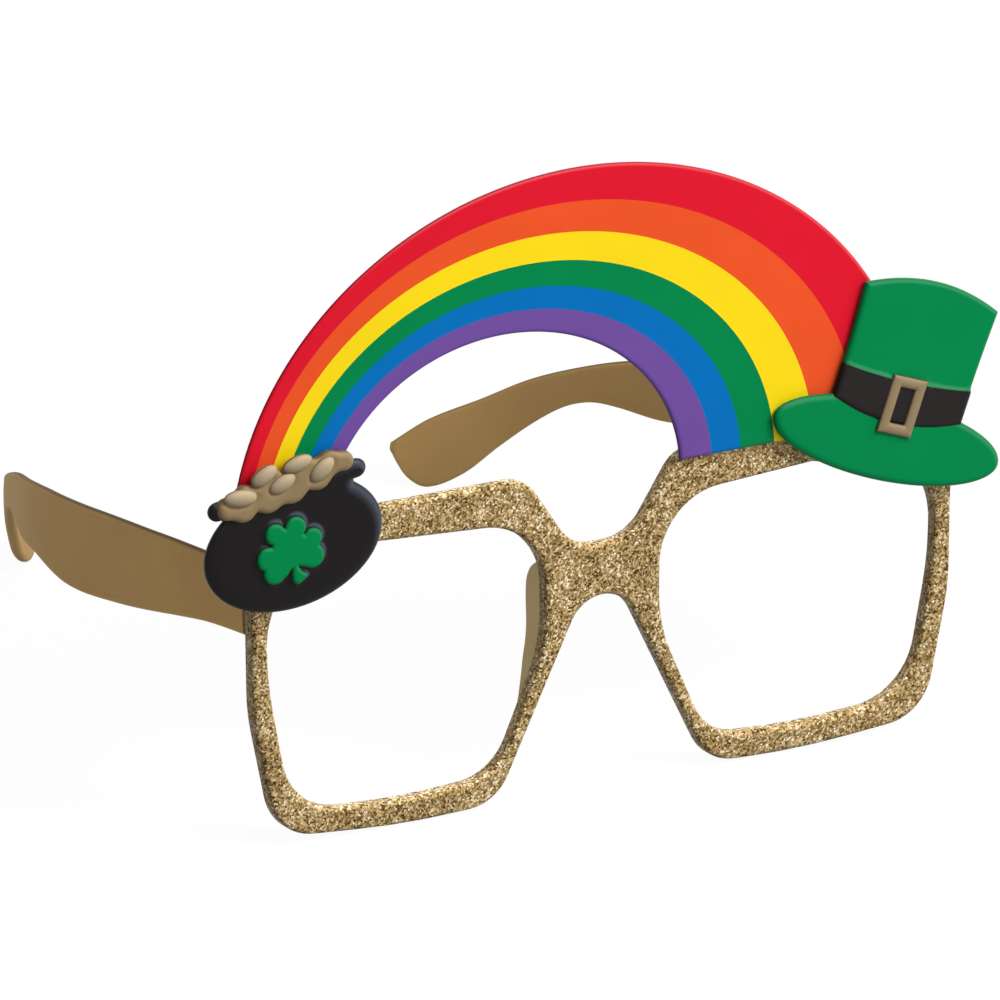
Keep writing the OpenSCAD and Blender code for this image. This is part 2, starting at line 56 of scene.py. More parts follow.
LOG = logging.getLogger("rainbow_glasses")
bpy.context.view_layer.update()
MM = 0.001
PHOTO_SIDE = 1000
PLASTIC_IOR = 1.5
# The turn in degrees from which a point of an outline counts as a sharp corner
SHARP_TURN = 22.0
# How many points are measured at once, so that the arrays stay small
BATCH = 1500
# A Mix node takes its two colours at these inputs and gives the mixed one at this output
MIX_A, MIX_B, MIX_OUT = 6, 7, 2
MIX_COLOURS = {"data_type": "RGBA"}
MULTIPLY_COLOURS = {"data_type": "RGBA", "blend_type": "MULTIPLY"}
# The values that finished stores on a mesh, as an Attribute node reads them
FACE = {"attribute_name": "face", "attribute_type": "GEOMETRY"}
UPPER = {"attribute_name": "upper", "attribute_type": "GEOMETRY"}


class Side(Enum):
    """The two sides of the glasses, as the viewer sees them."""

    LEFT = -1
    RIGHT = 1

    @property
    def word(self) -> str:
        """The side's name as the CAD nodes write it."""
        return self.name.lower()

    @property
    def temple_body(self) -> str:
        """The CAD body of the temple on this side."""
        return f"{self.word}_temple"


@dataclass(frozen=True)
class Stand:
    """How the upright front frame stands in the row's frame, with its lean in degrees."""

    lean: float = 3.87734
    origin_x: float = -1.5293
    origin_y: float = 69.3
    drop: float = -0.0985688

    def turn(self) -> Matrix:
        """The lean alone, as a rotation."""
        return Matrix.Rotation(math.radians(-self.lean), 4, "X")

    def matrix(self) -> Matrix:
        """Front frame in millimetres to row frame in metres."""
        move = Matrix.Translation((-self.origin_x, -self.origin_y, self.drop))
        return Matrix.Scale(MM, 4) @ move @ self.turn()


STAND = Stand()


# Outlines


def unit(v: np.ndarray) -> np.ndarray:
    """The vectors of the last axis at length 1."""
    return v / np.maximum(np.linalg.norm(v, axis=-1, keepdims=True), 1e-12)


def rounded(corners: Sequence[Sequence[float]], arc_step: float = 4.0) -> np.ndarray:
    """A closed outline whose corners are rounded by arcs.

    Args:
        corners: Each corner as x, z and its radius.
        arc_step: Degrees between two points of an arc.

    Returns:
        The outline's points in order.
    """
    points = []
    c = np.array(corners, float)
    for i in range(len(c)):
        p, radius = c[i, :2], c[i, 2]
        a = unit(c[i - 1, :2] - p)
        b = unit(c[(i + 1) % len(c), :2] - p)
        half = math.acos(float(np.clip(a @ b, -1, 1))) / 2
        middle = p + unit(a + b) * radius / math.sin(half)
        start = p + a * radius / math.tan(half) - middle
        end = p + b * radius / math.tan(half) - middle
        first = math.atan2(start[1], start[0])
        sweep = (math.atan2(end[1], end[0]) - first + math.pi) % (2 * math.pi) - math.pi
        n = max(3, math.ceil(abs(math.degrees(sweep)) / arc_step))
        for k in range(n + 1):
            t = first + sweep * k / n
            points.append(middle + radius * np.array([math.cos(t), math.sin(t)]))
    return np.array(points)


def flipped(corners: Sequence[Sequence[float]]) -> list[list[float]]:
    """The same corners on the other side of the middle, in the order that keeps the outline's sense."""
    return [[-x, z, r] for x, z, r in reversed(corners)]


def ellipse(a: float, b: float, n: int = 96) -> np.ndarray:
    """Points of an ellipse about the origin, counter-clockwise."""
    t = np.linspace(0, 2 * np.pi, n, endpoint=False)
    return np.stack([a * np.cos(t), b * np.sin(t)], axis=1)


def placed(points: np.ndarray, x: float, z: float, tilt: float) -> np.ndarray:
    """Points turned about the origin and then moved.

    Args:
        points: The points.
        x: How far they move to the right.
        z: How far they move up.
        tilt: By how many degrees they turn first, anticlockwise.

    Returns:
        The moved points.
    """
    t = math.radians(tilt)
    turn = np.array([[math.cos(t), math.sin(t)], [-math.sin(t), math.cos(t)]])
    return points @ turn + np.array([x, z])


def cad_loops(node: str, depth: float) -> list[np.ndarray]:
    """The outline of a CAD node's flat face at a depth.

    Args:
        node: The CAD node.
        depth: The face's y in the front frame.

    Returns:
        Closed loops of x and z, with the face on their left.
    """
    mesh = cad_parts[node].data
    back = STAND.matrix().inverted()
    points = np.array([back @ v.co for v in mesh.vertices])
    keys = [(round(p[0], 3), round(p[2], 3)) for p in points]
    flat = np.abs(points[:, 1] - depth) < 0.02
    edges: dict[tuple, tuple] = {}
    for polygon in mesh.polygons:
        if all(flat[i] for i in polygon.vertices):
            ring = [keys[i] for i in polygon.vertices]
            for a, b in zip(ring, ring[1:] + ring[:1]):
                if (b, a) in edges:
                    del edges[(b, a)]
                else:
                    edges[(a, b)] = (a, b)
    follow = {a: b for a, b in edges}
    loops = []
    while follow:
        start, at = next(iter(follow.items()))
        del follow[start]
        loop = [start]
        while at != start:
            loop.append(at)
            at = follow.pop(at)
        loops.append(np.array(loop))
    return loops


def turning(loop: np.ndarray) -> np.ndarray:
    """How far a closed loop turns at each point.

    Args:
        loop: The closed loop.

    Returns:
        The degrees, positive to the left.
    """
    a = loop - np.roll(loop, 1, axis=0)
    b = np.roll(loop, -1, axis=0) - loop
    return np.degrees(np.arctan2(a[:, 0] * b[:, 1] - a[:, 1] * b[:, 0], (a * b).sum(axis=1)))


def resampled(loop: np.ndarray, step: float) -> np.ndarray:
    """A loop at even steps that keeps its sharp corners and smooths the facets between them.

    Args:
        loop: The closed loop.
        step: The distance between two new points.

    Returns:
        The new closed loop.
    """
    sharp = np.flatnonzero(np.abs(turning(loop)) > SHARP_TURN)
    closed = len(sharp) == 0
    if closed:
        sharp = np.array([0])
    loop = np.roll(loop, -sharp[0], axis=0)
    marks = [*(sharp - sharp[0]), len(loop)]
    loop = np.vstack([loop, loop[:1]])
    parts = []
    for first, last in zip(marks, marks[1:]):
        run = loop[first : last + 1]
        walked = np.r_[0, np.cumsum(np.linalg.norm(np.diff(run, axis=0), axis=1))]
        n = max(1, round(walked[-1] / step))
        at = np.linspace(0, walked[-1], n + 1)
        part = np.stack([np.interp(at, walked, run[:, k]) for k in (0, 1)], axis=1)
        for _ in range(3):
            if closed:
                ring = part[:-1]
                ring = (np.roll(ring, 1, axis=0) + 2 * ring + np.roll(ring, -1, axis=0)) / 4
                part = np.vstack([ring, ring[:1]])
            elif n > 2:
                part[1:-1] = (part[:-2] + 2 * part[1:-1] + part[2:]) / 4
        parts.append(part[:-1])
    return np.vstack(parts)


def softened(loop: np.ndarray, step: float, passes: int) -> np.ndarray:
    """A loop at even steps with its corners and creases melted.

    Args:
        loop: The closed loop.
        step: The distance between two new points.
        passes: The number of smoothing passes.

    Returns:
        The new closed loop.
    """
    ring = resampled(loop, step)
    for _ in range(passes):
        ring = (np.roll(ring, 1, axis=0) + 2 * ring + np.roll(ring, -1, axis=0)) / 4
    return ring


def distance(points: np.ndarray, loops: Sequence[np.ndarray]) -> np.ndarray:
    """How far points lie from the nearest of some loops.

    Args:
        points: The points.
        loops: The closed loops.

    Returns:
        One distance for each point.
    """
    a = np.vstack(loops)
    d = np.vstack([np.roll(loop, -1, axis=0) for loop in loops]) - a
    length = np.maximum((d * d).sum(axis=1), 1e-12)
    found = np.empty(len(points))
    for first in range(0, len(points), BATCH):
        p = points[first : first + BATCH, None, :] - a[None]
        t = np.clip((p * d[None]).sum(axis=2) / length, 0, 1)
        found[first : first + BATCH] = np.sqrt(((p - t[..., None] * d[None]) ** 2).sum(axis=2).min(axis=1))
    return found


def inside(points: np.ndarray, loops: Sequence[np.ndarray]) -> np.ndarray:
    """Which points lie inside some loops, by the even-odd rule.

    Args:
        points: The points.
        loops: The closed loops.

    Returns:
        True for each point that lies inside.
    """
    a = np.vstack(loops)
    b = np.vstack([np.roll(loop, -1, axis=0) for loop in loops])
    rise = np.where(np.abs(b[:, 1] - a[:, 1]) < 1e-12, 1e-12, b[:, 1] - a[:, 1])
    found = np.empty(len(points), bool)
    for first in range(0, len(points), BATCH):
        x, z = points[first : first + BATCH, :1], points[first : first + BATCH, 1:]
        spans = (a[None, :, 1] > z) != (b[None, :, 1] > z)
        crossing = a[None, :, 0] + (z - a[None, :, 1]) / rise * (b[:, 0] - a[:, 0])[None]
        found[first : first + BATCH] = (spans & (x < crossing)).sum(axis=1) % 2 == 1
    return found


def rings(loop: np.ndarray, depths: Sequence[float]) -> np.ndarray:
    """Points beside a loop, in more directions where it has sharp corners.

    Args:
        loop: The closed loop.
        depths: The distances to its left, or to its right where negative.

    Returns:
        The points of all distances.
    """
    before = unit(loop - np.roll(loop, 1, axis=0))
    after = unit(np.roll(loop, -1, axis=0) - loop)
    sides = [(before, after, 0.5)]
    if np.abs(turning(loop)).max() > SHARP_TURN:
        sides += [(before, after, w) for w in (0.0, 0.25, 0.75, 1.0)]
    points = []
    for u, v, w in sides:
        way = unit((1 - w) * u + w * v)
        across = np.stack([-way[:, 1], way[:, 0]], axis=1)
        points += [loop + across * depth for depth in depths]
    return np.vstack(points)


@dataclass(frozen=True)
class Rim:
    """A rounded rim: how far it reaches in from the outline, and how far it falls there."""

    reach: float
    fall: float

    def drop(self, d: np.ndarray) -> np.ndarray:
        """How far the face lies below its full height at a distance from the outline."""
        t = np.clip(d / self.reach, 0, 1)
        return self.fall * (1 - np.sqrt(np.maximum(1 - (1 - t) ** 2, 0)))

    def depths(self, steps: int = 6) -> list[float]:
        """Distances from the outline at which the rounding is drawn."""
        turned = [self.reach * (1 - math.cos(math.pi / 2 * k / steps)) for k in range(1, steps + 1)]
        return [*turned, self.reach + 0.35]


@dataclass(frozen=True)
class Welt:
    """A soft welt that a face swells up to along the outline of what stands on it."""

    loops: tuple[np.ndarray, ...]
    height: float
    reach: float

    def rise(self, points: np.ndarray) -> np.ndarray:
        """How far the face swells at each point."""
        return self.height * np.exp(-((distance(points, self.loops) / self.reach) ** 2))

    def points(self) -> np.ndarray:
        """Points close enough together to draw the welt."""
        near = [self.reach * k for k in (0.12, 0.3, 0.55, 0.8, 1.1, 1.5, 2.0, 2.5)]
        return np.vstack([rings(loop, [*near, *(-d for d in near)]) for loop in self.loops])


def relief(
    name: str,
    loops: Sequence[np.ndarray],
    face: float,
    back: float,
    rim: Rim,
    back_rim: Rim = Rim(0.35, 0.25),
    rim_loops: Sequence[np.ndarray] | None = None,
    welts: Sequence[Welt] = (),
    step: float = 0.45,
) -> bpy.types.Mesh:
    """A moulded flat piece whose face is rounded down towards its outline.

    Args:
        name: The mesh's name.
        loops: Its outline in x and z, with the piece on the left of each loop.
        face: The depth of its face.
        back: The depth of its back.
        rim: The rounding of the face.
        back_rim: The rounding of the back.
        rim_loops: The outline that the rounding follows, where it isn't the piece's own.
        welts: Where the face swells up to a piece on it.
        step: The distance between two points of the outline.

    Returns:
        The closed mesh in the row's frame.
    """
    own = [resampled(loop, step) for loop in loops]
    edge = own if rim_loops is None else [resampled(loop, step) for loop in rim_loops]
    candidates = [rings(loop, rim.depths()) for loop in edge]
    candidates += [welt.points() for welt in welts]
    spare = np.vstack(candidates)
    spare = spare[inside(spare, own)]
    # Points too close to the outline or to each other would make slivers
    spare = spare[distance(spare, own) > 0.05]
    places = np.round(spare / 0.09).astype(int)
    spare = spare[np.unique(places, axis=0, return_index=True)[1]]
    outline = np.vstack(own)
    points = np.vstack([outline, spare])
    links, first = [], 0
    for loop in own:
        n = len(loop)
        links += [(first + i, first + (i + 1) % n) for i in range(n)]
        first += n
    cut = delaunay_2d_cdt([Vector(p) for p in points], links, [], 0, 1e-6)
    flat, faces, origin = np.array(cut[0]), cut[2], cut[3]
    kept = inside(np.array([flat[list(f)].mean(axis=0) for f in faces]), own)
    faces = [f for f, keep in zip(faces, kept) if keep]
    where = {}
    for i, sources in enumerate(origin):
        for s in sources:
            where[s] = i
    d = distance(flat, edge)
    front_y = face + rim.drop(d) - sum((w.rise(flat) for w in welts), np.zeros(len(flat)))
    back_y = back - back_rim.drop(d)
    n = len(flat)
    co = np.zeros((2 * n, 3))
    co[:, 0], co[:, 2] = np.tile(flat[:, 0], 2), np.tile(flat[:, 1], 2)
    co[:, 1] = np.r_[front_y, back_y]
    polygons = [tuple(f) for f in faces] + [tuple(n + i for i in reversed(f)) for f in faces]
    for a, b in links:
        p, q = where[a], where[b]
        polygons.append((q, p, n + p, n + q))
    mesh = bpy.data.meshes.new(name)
    mesh.from_pydata(co.tolist(), [], polygons)
    return finished(mesh)


def finished(
    mesh: bpy.types.Mesh, sharp: float = 38.0, recalculate: bool = False, flank: bool = False
) -> bpy.types.Mesh:
    """A mesh drawn in the front frame, cleaned, smoothed and stood in the row's frame.

    Its attribute "face" is 1 on the piece's broad faces and falls to 0 on its edges and walls, and
    "upper" is 1 on slopes that face the viewer's upper right and -1 on those that face the lower left. The
    materials paint shade on the edges and walls from "face", and a painted highlight and painted shade on
    the slopes from "upper".

    Args:
        mesh: The mesh in millimetres.
        sharp: The angle in degrees from which an edge stays sharp.
        recalculate: Whether its faces may point inwards and are turned out.
        flank: Whether its broad faces look sideways, as a temple's do, and not forwards.

    Returns:
        The same mesh.
    """
    bm = bmesh.new()
    bm.from_mesh(mesh)
    bmesh.ops.remove_doubles(bm, verts=bm.verts, dist=1e-4)
    loose = [v for v in bm.verts if not v.link_faces]
    bmesh.ops.delete(bm, geom=loose, context="VERTS")
    if recalculate:
        bmesh.ops.recalc_face_normals(bm, faces=bm.faces)
    bm.to_mesh(mesh)
    bm.free()
    normals = [v.normal for v in mesh.vertices]
    faces = [math.hypot(n.x, n.y) if flank else abs(n.y) for n in normals]
    mesh.attributes.new("face", "FLOAT", "POINT").data.foreach_set("value", faces)
    mesh.shade_smooth()
    mesh.set_sharp_from_angle(angle=math.radians(sharp))
    upper = [(c.vector.x + c.vector.z) / math.sqrt(2) for c in mesh.corner_normals]
    mesh.attributes.new("upper", "FLOAT", "CORNER").data.foreach_set("value", upper)
    mesh.transform(STAND.matrix())
    mesh.update()
    return mesh


def loft(name: str, sections: Sequence[np.ndarray], flank: bool = False) -> bpy.types.Mesh:
    """A closed mesh through sections of equal numbers of points.

    Args:
        name: The mesh's name.
        sections: Each section's points, x, y and z, round it in one sense.
        flank: Whether its broad faces look sideways.

    Returns:
        The mesh in the row's frame.
    """
    n = len(sections[0])
    last = (len(sections) - 1) * n
    polygons = [tuple(range(n)), tuple(last + i for i in reversed(range(n)))]
    for k in range(len(sections) - 1):
        for i in range(n):
            j = (i + 1) % n
            polygons.append((k * n + i, (k + 1) * n + i, (k + 1) * n + j, k * n + j))
    mesh = bpy.data.meshes.new(name)
    mesh.from_pydata(np.vstack(sections).tolist(), [], polygons)
    return finished(mesh, recalculate=True, flank=flank)


def along(knots: Sequence[Sequence[float]], s: float) -> float:
    """The value at a place on the smooth curve through some knots.

    Args:
        knots: The knots, each a place and the value there.
        s: The place.

    Returns:
        The value at the place.
    """
    k = len(knots)
    i = next((i for i in range(k - 1) if s <= knots[i + 1][0]), k - 2)

    def slope(j: int) -> float:
        """The curve's slope at a knot."""
        a, b = knots[max(0, j - 1)], knots[min(k - 1, j + 1)]
        return (b[1] - a[1]) / (b[0] - a[0])

    w = knots[i + 1][0] - knots[i][0]
    t = (s - knots[i][0]) / w
    return (
        (2 * t**3 - 3 * t**2 + 1) * knots[i][1]
        + (t**3 - 2 * t**2 + t) * slope(i) * w
        + (3 * t**2 - 2 * t**3) * knots[i + 1][1]
        + (t**3 - t**2) * slope(i + 1) * w
    )


# Nodes and finishes


def linear(colour: str) -> tuple[float, float, float, float]:
    """An sRGB hex colour as a linear one with alpha."""
    parts = [int(colour[i : i + 2], 16) / 255 for i in (0, 2, 4)]
    return (*(c / 12.92 if c <= 0.04045 else ((c + 0.055) / 1.055) ** 2.4 for c in parts), 1.0)


class Term:
    """A value in a node tree, worked out with the usual operators."""

    def __init__(self, tree: Tree, socket: Socket) -> None:
        """Keeps the tree and the output that holds the value."""
        self.tree = tree
        self.socket = socket

    def run(self, operation: str, *others: Any) -> "Term":
        """The value after a math operation, whose further inputs are terms, outputs or numbers."""
        inputs = dict(enumerate((self, *others)))
        return Term(self.tree, output(self.tree, "ShaderNodeMath", inputs, operation=operation))

    def __rsub__(self, number: float) -> "Term":
        """A number less the value."""
        return self.run("MULTIPLY_ADD", -1.0, number)

    __add__ = partialmethod(run, "ADD")
    __sub__ = partialmethod(run, "SUBTRACT")
    __mul__ = partialmethod(run, "MULTIPLY")
    __truediv__ = partialmethod(run, "DIVIDE")
    __pow__ = partialmethod(run, "POWER")


def add(tree: Tree, kind: str, inputs: dict | None = None, **settings: Any) -> bpy.types.Node:
    """Adds a node.

    Args:
        tree: The tree it goes into.
        kind: Its Blender type.
        inputs: For each input, by name or place, a term or output to link or a value to set.
        settings: Its own settings. ramp takes the stops of a colour ramp.

    Returns:
        The node.
    """
    made = tree.nodes.new(kind)
    for stop, (place, colour) in enumerate(settings.pop("ramp", [])):
        stops = made.color_ramp.elements
        element = stops[stop] if stop < 2 else stops.new(place)
        element.position, element.color = place, linear(colour)
    for name, value in settings.items():
        setattr(made, name, value)
    for place, value in (inputs or {}).items():
        value = value.socket if isinstance(value, Term) else value
        if isinstance(value, Socket):
            tree.links.new(value, made.inputs[place])
        else:
            made.inputs[place].default_value = value
    return made


def output(
    tree: Tree, kind: str, inputs: dict | None = None, pick: int | str = 0, **settings: Any
) -> Socket:
    """One output, by place or name, of a node that add makes."""
    return add(tree, kind, inputs, **settings).outputs[pick]


def per_metre(size_mm: float) -> float:
    """How many patches of a size fit in a metre, which is a texture's scale."""
    return 1 / (size_mm * MM)


def new_material(name: str, colour: str) -> tuple[bpy.types.Material, Tree]:
    """An empty node material with its colour for solid view.

    Args:
        name: Its name.
        colour: Its colour, as hex.

    Returns:
        The material and its tree.
    """
    material = bpy.data.materials.new(name)
    material.use_nodes = True
    material.diffuse_color = linear(colour)
    material.node_tree.nodes.clear()
    return material, material.node_tree


def smooth_cloud(tree: Tree, place: Socket, size_mm: float) -> Socket:
    """A soft cloudy value from 0 to 1.

    Args:
        tree: The material's tree.
        place: The place on the piece.
        size_mm: About how far across its patches are.

    Returns:
        The value.
    """
    inputs = {"Vector": place, "Scale": per_metre(size_mm), "Detail": 2.0}
    patches = output(tree, "ShaderNodeTexNoise", inputs)
    return output(tree, "ShaderNodeMapRange", {"Value": patches, "From Min": 0.3, "From Max": 0.7})


def with_painted_light(tree: Tree, body: Socket, low: float, high: float) -> Socket:
    """A colour with painted light: a painted highlight makes it paler on slopes towards the upper right, and
    painted shade makes it deeper on those towards the lower left.

    Args:
        tree: The material's tree.
        body: The colour of level faces.
        low: What the painted shade multiplies it by on the deepest slopes.
        high: What the painted highlight multiplies it by on the palest slopes.

    Returns:
        The colour.
    """
    upper = output(tree, "ShaderNodeAttribute", pick="Fac", **UPPER)
    inputs = {"Value": upper, "From Min": -0.6, "From Max": 0.6, "To Min": low, "To Max": high}
    inputs = {"Factor": 1.0, MIX_A: body, MIX_B: output(tree, "ShaderNodeMapRange", inputs)}
    return output(tree, "ShaderNodeMix", inputs, MIX_OUT, **MULTIPLY_COLOURS)


def edge_shaded(tree: Tree, body: Socket, edge: str, start: float, end: float) -> Socket:
    """A colour that gives way to a darker one on the piece's edges and walls, as painted shade.

    Args:
        tree: The material's tree.
        body: The colour of the broad faces.
        edge: The colour of the painted shade on the edges, as hex.
        start: The value of the face attribute up to which the edge's colour shows alone.
        end: The value from which the body's colour shows alone.

    Returns:
        The colour.
    """
    face = output(tree, "ShaderNodeAttribute", pick="Fac", **FACE)
    # 0 on edges and walls, where the painted shade shows, up to 1 on the broad faces
    clear_of_edge = output(tree, "ShaderNodeMapRange", {"Value": face, "From Min": start, "From Max": end})
    inputs = {"Factor": clear_of_edge, MIX_A: linear(edge), MIX_B: body}
    return output(tree, "ShaderNodeMix", inputs, MIX_OUT, **MIX_COLOURS)


@dataclass(frozen=True)
class Finish:
    """What a surface is made of: its name, its plain colour, and what a subclass gives its shader."""

    name: str
    colour: str

    def surface(self, tree: Tree) -> dict[str, Any]:
        """What the principled shader is given.

        Args:
            tree: The material's tree.

        Returns:
            Its inputs by name.
        """
        raise NotImplementedError

    def make(self) -> bpy.types.Material:
        """Makes the material.

        Returns:
            The material.
        """
        material, tree = new_material(self.name, self.colour)
        shader = output(tree, "ShaderNodeBsdfPrincipled", self.surface(tree))
        add(tree, "ShaderNodeOutputMaterial", {"Surface": shader})
        return material


@dataclass(frozen=True)
class PaintedPlastic(Finish):
    """Moulded ABS with sprayed satin paint.

    It gives the eye an even strong colour with painted shade on its edges and walls, a painted highlight
    on slopes towards the upper right and painted shade on those towards the lower left, and a faint pale
    haze of overspray on the slopes that turn away towards the light.
    """

    # The darker tone painted on the edges and walls as shade
    edge: str
    roughness: float = 0.42
    specular: float = 0.045
    peel_mm: float = 0.9
    peel_height_mm: float = 0.004
    edge_from: float = 0.12
    edge_to: float = 0.5
    haze: float = 0.1
    haze_tint: str = "F4F0EC"
    # The painted highlight's colour and share on slopes towards the upper right, and the share of painted
    # shade on those towards the lower left
    painted_highlight: str = "FFFFFF"
    painted_highlight_share: float = 0.065
    painted_shade_share: float = 0.3
    cloud_mm: float = 14.0

    def surface(self, tree: Tree) -> dict[str, Any]:
        """What the principled shader is given.

        Args:
            tree: The material's tree.

        Returns:
            Its inputs by name.
        """
        place = output(tree, "ShaderNodeTexCoord", pick="Object")
        # Paint pools and thins a little from one centimetre to the next, so the colour isn't dead even
        cloud = smooth_cloud(tree, place, self.cloud_mm)
        pooled = output(tree, "ShaderNodeMapRange", {"Value": cloud, "To Min": 0.92, "To Max": 0.965})
        inputs = {"Factor": 1.0, MIX_A: linear(self.colour), MIX_B: pooled}
        body = output(tree, "ShaderNodeMix", inputs, MIX_OUT, **MULTIPLY_COLOURS)
        # Painted light: slopes towards the upper right get a painted highlight, a pale line, and those
        # towards the lower left painted shade that deepens them
        upper = output(tree, "ShaderNodeAttribute", pick="Fac", **UPPER)
        inputs = {"Value": upper, "From Min": 0.06, "From Max": 0.3, "To Max": self.painted_highlight_share}
        rising = output(tree, "ShaderNodeMapRange", inputs)
        inputs = {"Value": upper, "From Min": 0.4, "From Max": 0.75, "To Min": 1.0, "To Max": 0.1}
        falling = output(tree, "ShaderNodeMapRange", inputs)
        inputs = {"Factor": Term(tree, rising) * falling, MIX_A: body, MIX_B: linear(self.painted_highlight)}
        with_painted_highlight = output(tree, "ShaderNodeMix", inputs, MIX_OUT, **MIX_COLOURS)
        inputs = {"Value": upper, "From Min": -0.5, "From Max": 0.0, "To Min": 1 - self.painted_shade_share}
        painted_shade = output(tree, "ShaderNodeMapRange", inputs)
        inputs = {"Factor": 1.0, MIX_A: with_painted_highlight, MIX_B: painted_shade}
        shaded = output(tree, "ShaderNodeMix", inputs, MIX_OUT, **MULTIPLY_COLOURS)
        # Orange peel of sprayed paint, near 1 mm across, breaks up the highlights
        inputs = {"Vector": place, "Scale": per_metre(self.peel_mm), "Detail": 2.0}
        peel = output(tree, "ShaderNodeTexNoise", inputs)
        inputs = {"Height": peel, "Strength": 1.0, "Distance": self.peel_height_mm * MM}
        bumps = output(tree, "ShaderNodeBump", inputs)
        inputs = {"Value": cloud, "To Min": self.roughness - 0.03, "To Max": self.roughness + 0.04}
        return {
            # Painted shade darkens the edges and walls
            "Base Color": edge_shaded(tree, shaded, self.edge, self.edge_from, self.edge_to),
            "Roughness": output(tree, "ShaderNodeMapRange", inputs),
            "Normal": bumps,
            "IOR": PLASTIC_IOR,
            "Specular IOR Level": self.specular,
            "Sheen Weight": self.haze,
            "Sheen Roughness": 0.3,
            "Sheen Tint": linear(self.haze_tint),
        }


@dataclass(frozen=True)
class MetallicPaint(Finish):
    """Moulded ABS under matt metallic paint.

    It gives the eye a soft even gold with very fine flecks, painted shade on its edges and walls, and on
    small rounded forms a painted highlight towards the upper right and painted shade towards the lower left.
    """

    fleck: str
    # The darker tone painted on the edges and walls as shade
    edge: str
    roughness: float = 0.52
    metallic: float = 0.12
    fleck_mm: float = 0.16
    edge_from: float = 0.3
    edge_to: float = 0.75
    # How strongly a painted highlight and painted shade show the roundness of slopes
    painted_modelling: float = 0.0
    cloud_mm: float = 18.0

    def surface(self, tree: Tree) -> dict[str, Any]:
        """What the principled shader is given.

        Args:
            tree: The material's tree.

        Returns:
            Its inputs by name.
        """
        place = output(tree, "ShaderNodeTexCoord", pick="Object")
        # Metal flakes in paint are some 30 microns, drawn five times as coarse so that they show close up
        inputs = {"Vector": place, "Scale": per_metre(self.fleck_mm)}
        grain = output(tree, "ShaderNodeTexVoronoi", inputs, "Color")
        picks = add(tree, "ShaderNodeSeparateColor", {"Color": grain}).outputs
        inputs = {"Value": picks[0], "From Min": 0.6, "To Max": 0.16}
        bright = output(tree, "ShaderNodeMapRange", inputs)
        inputs = {"Factor": bright, MIX_A: linear(self.colour), MIX_B: linear(self.fleck)}
        flecked = output(tree, "ShaderNodeMix", inputs, MIX_OUT, **MIX_COLOURS)
        cloud = smooth_cloud(tree, place, self.cloud_mm)
        shade = output(tree, "ShaderNodeMapRange", {"Value": cloud, "To Min": 0.95, "To Max": 1.04})
        inputs = {"Factor": 1.0, MIX_A: flecked, MIX_B: shade}
        body = output(tree, "ShaderNodeMix", inputs, MIX_OUT, **MULTIPLY_COLOURS)
        # Painted light: small rounded forms get a painted highlight on slopes towards the upper right and
        # painted shade on those towards the lower left
        with_painted_modelling = with_painted_light(tree, body, 1 - self.painted_modelling, 1 + self.painted_modelling)
        inputs = {"Height": picks[1], "Strength": 0.4, "Distance": 0.004 * MM}
        return {
            # Painted shade darkens the edges and walls
            "Base Color": edge_shaded(tree, with_painted_modelling, self.edge, self.edge_from, self.edge_to),
            "Roughness": self.roughness,
            "Metallic": self.metallic,
            "Normal": output(tree, "ShaderNodeBump", inputs),
            "IOR": PLASTIC_IOR,
            "Specular IOR Level": 0.07,
        }


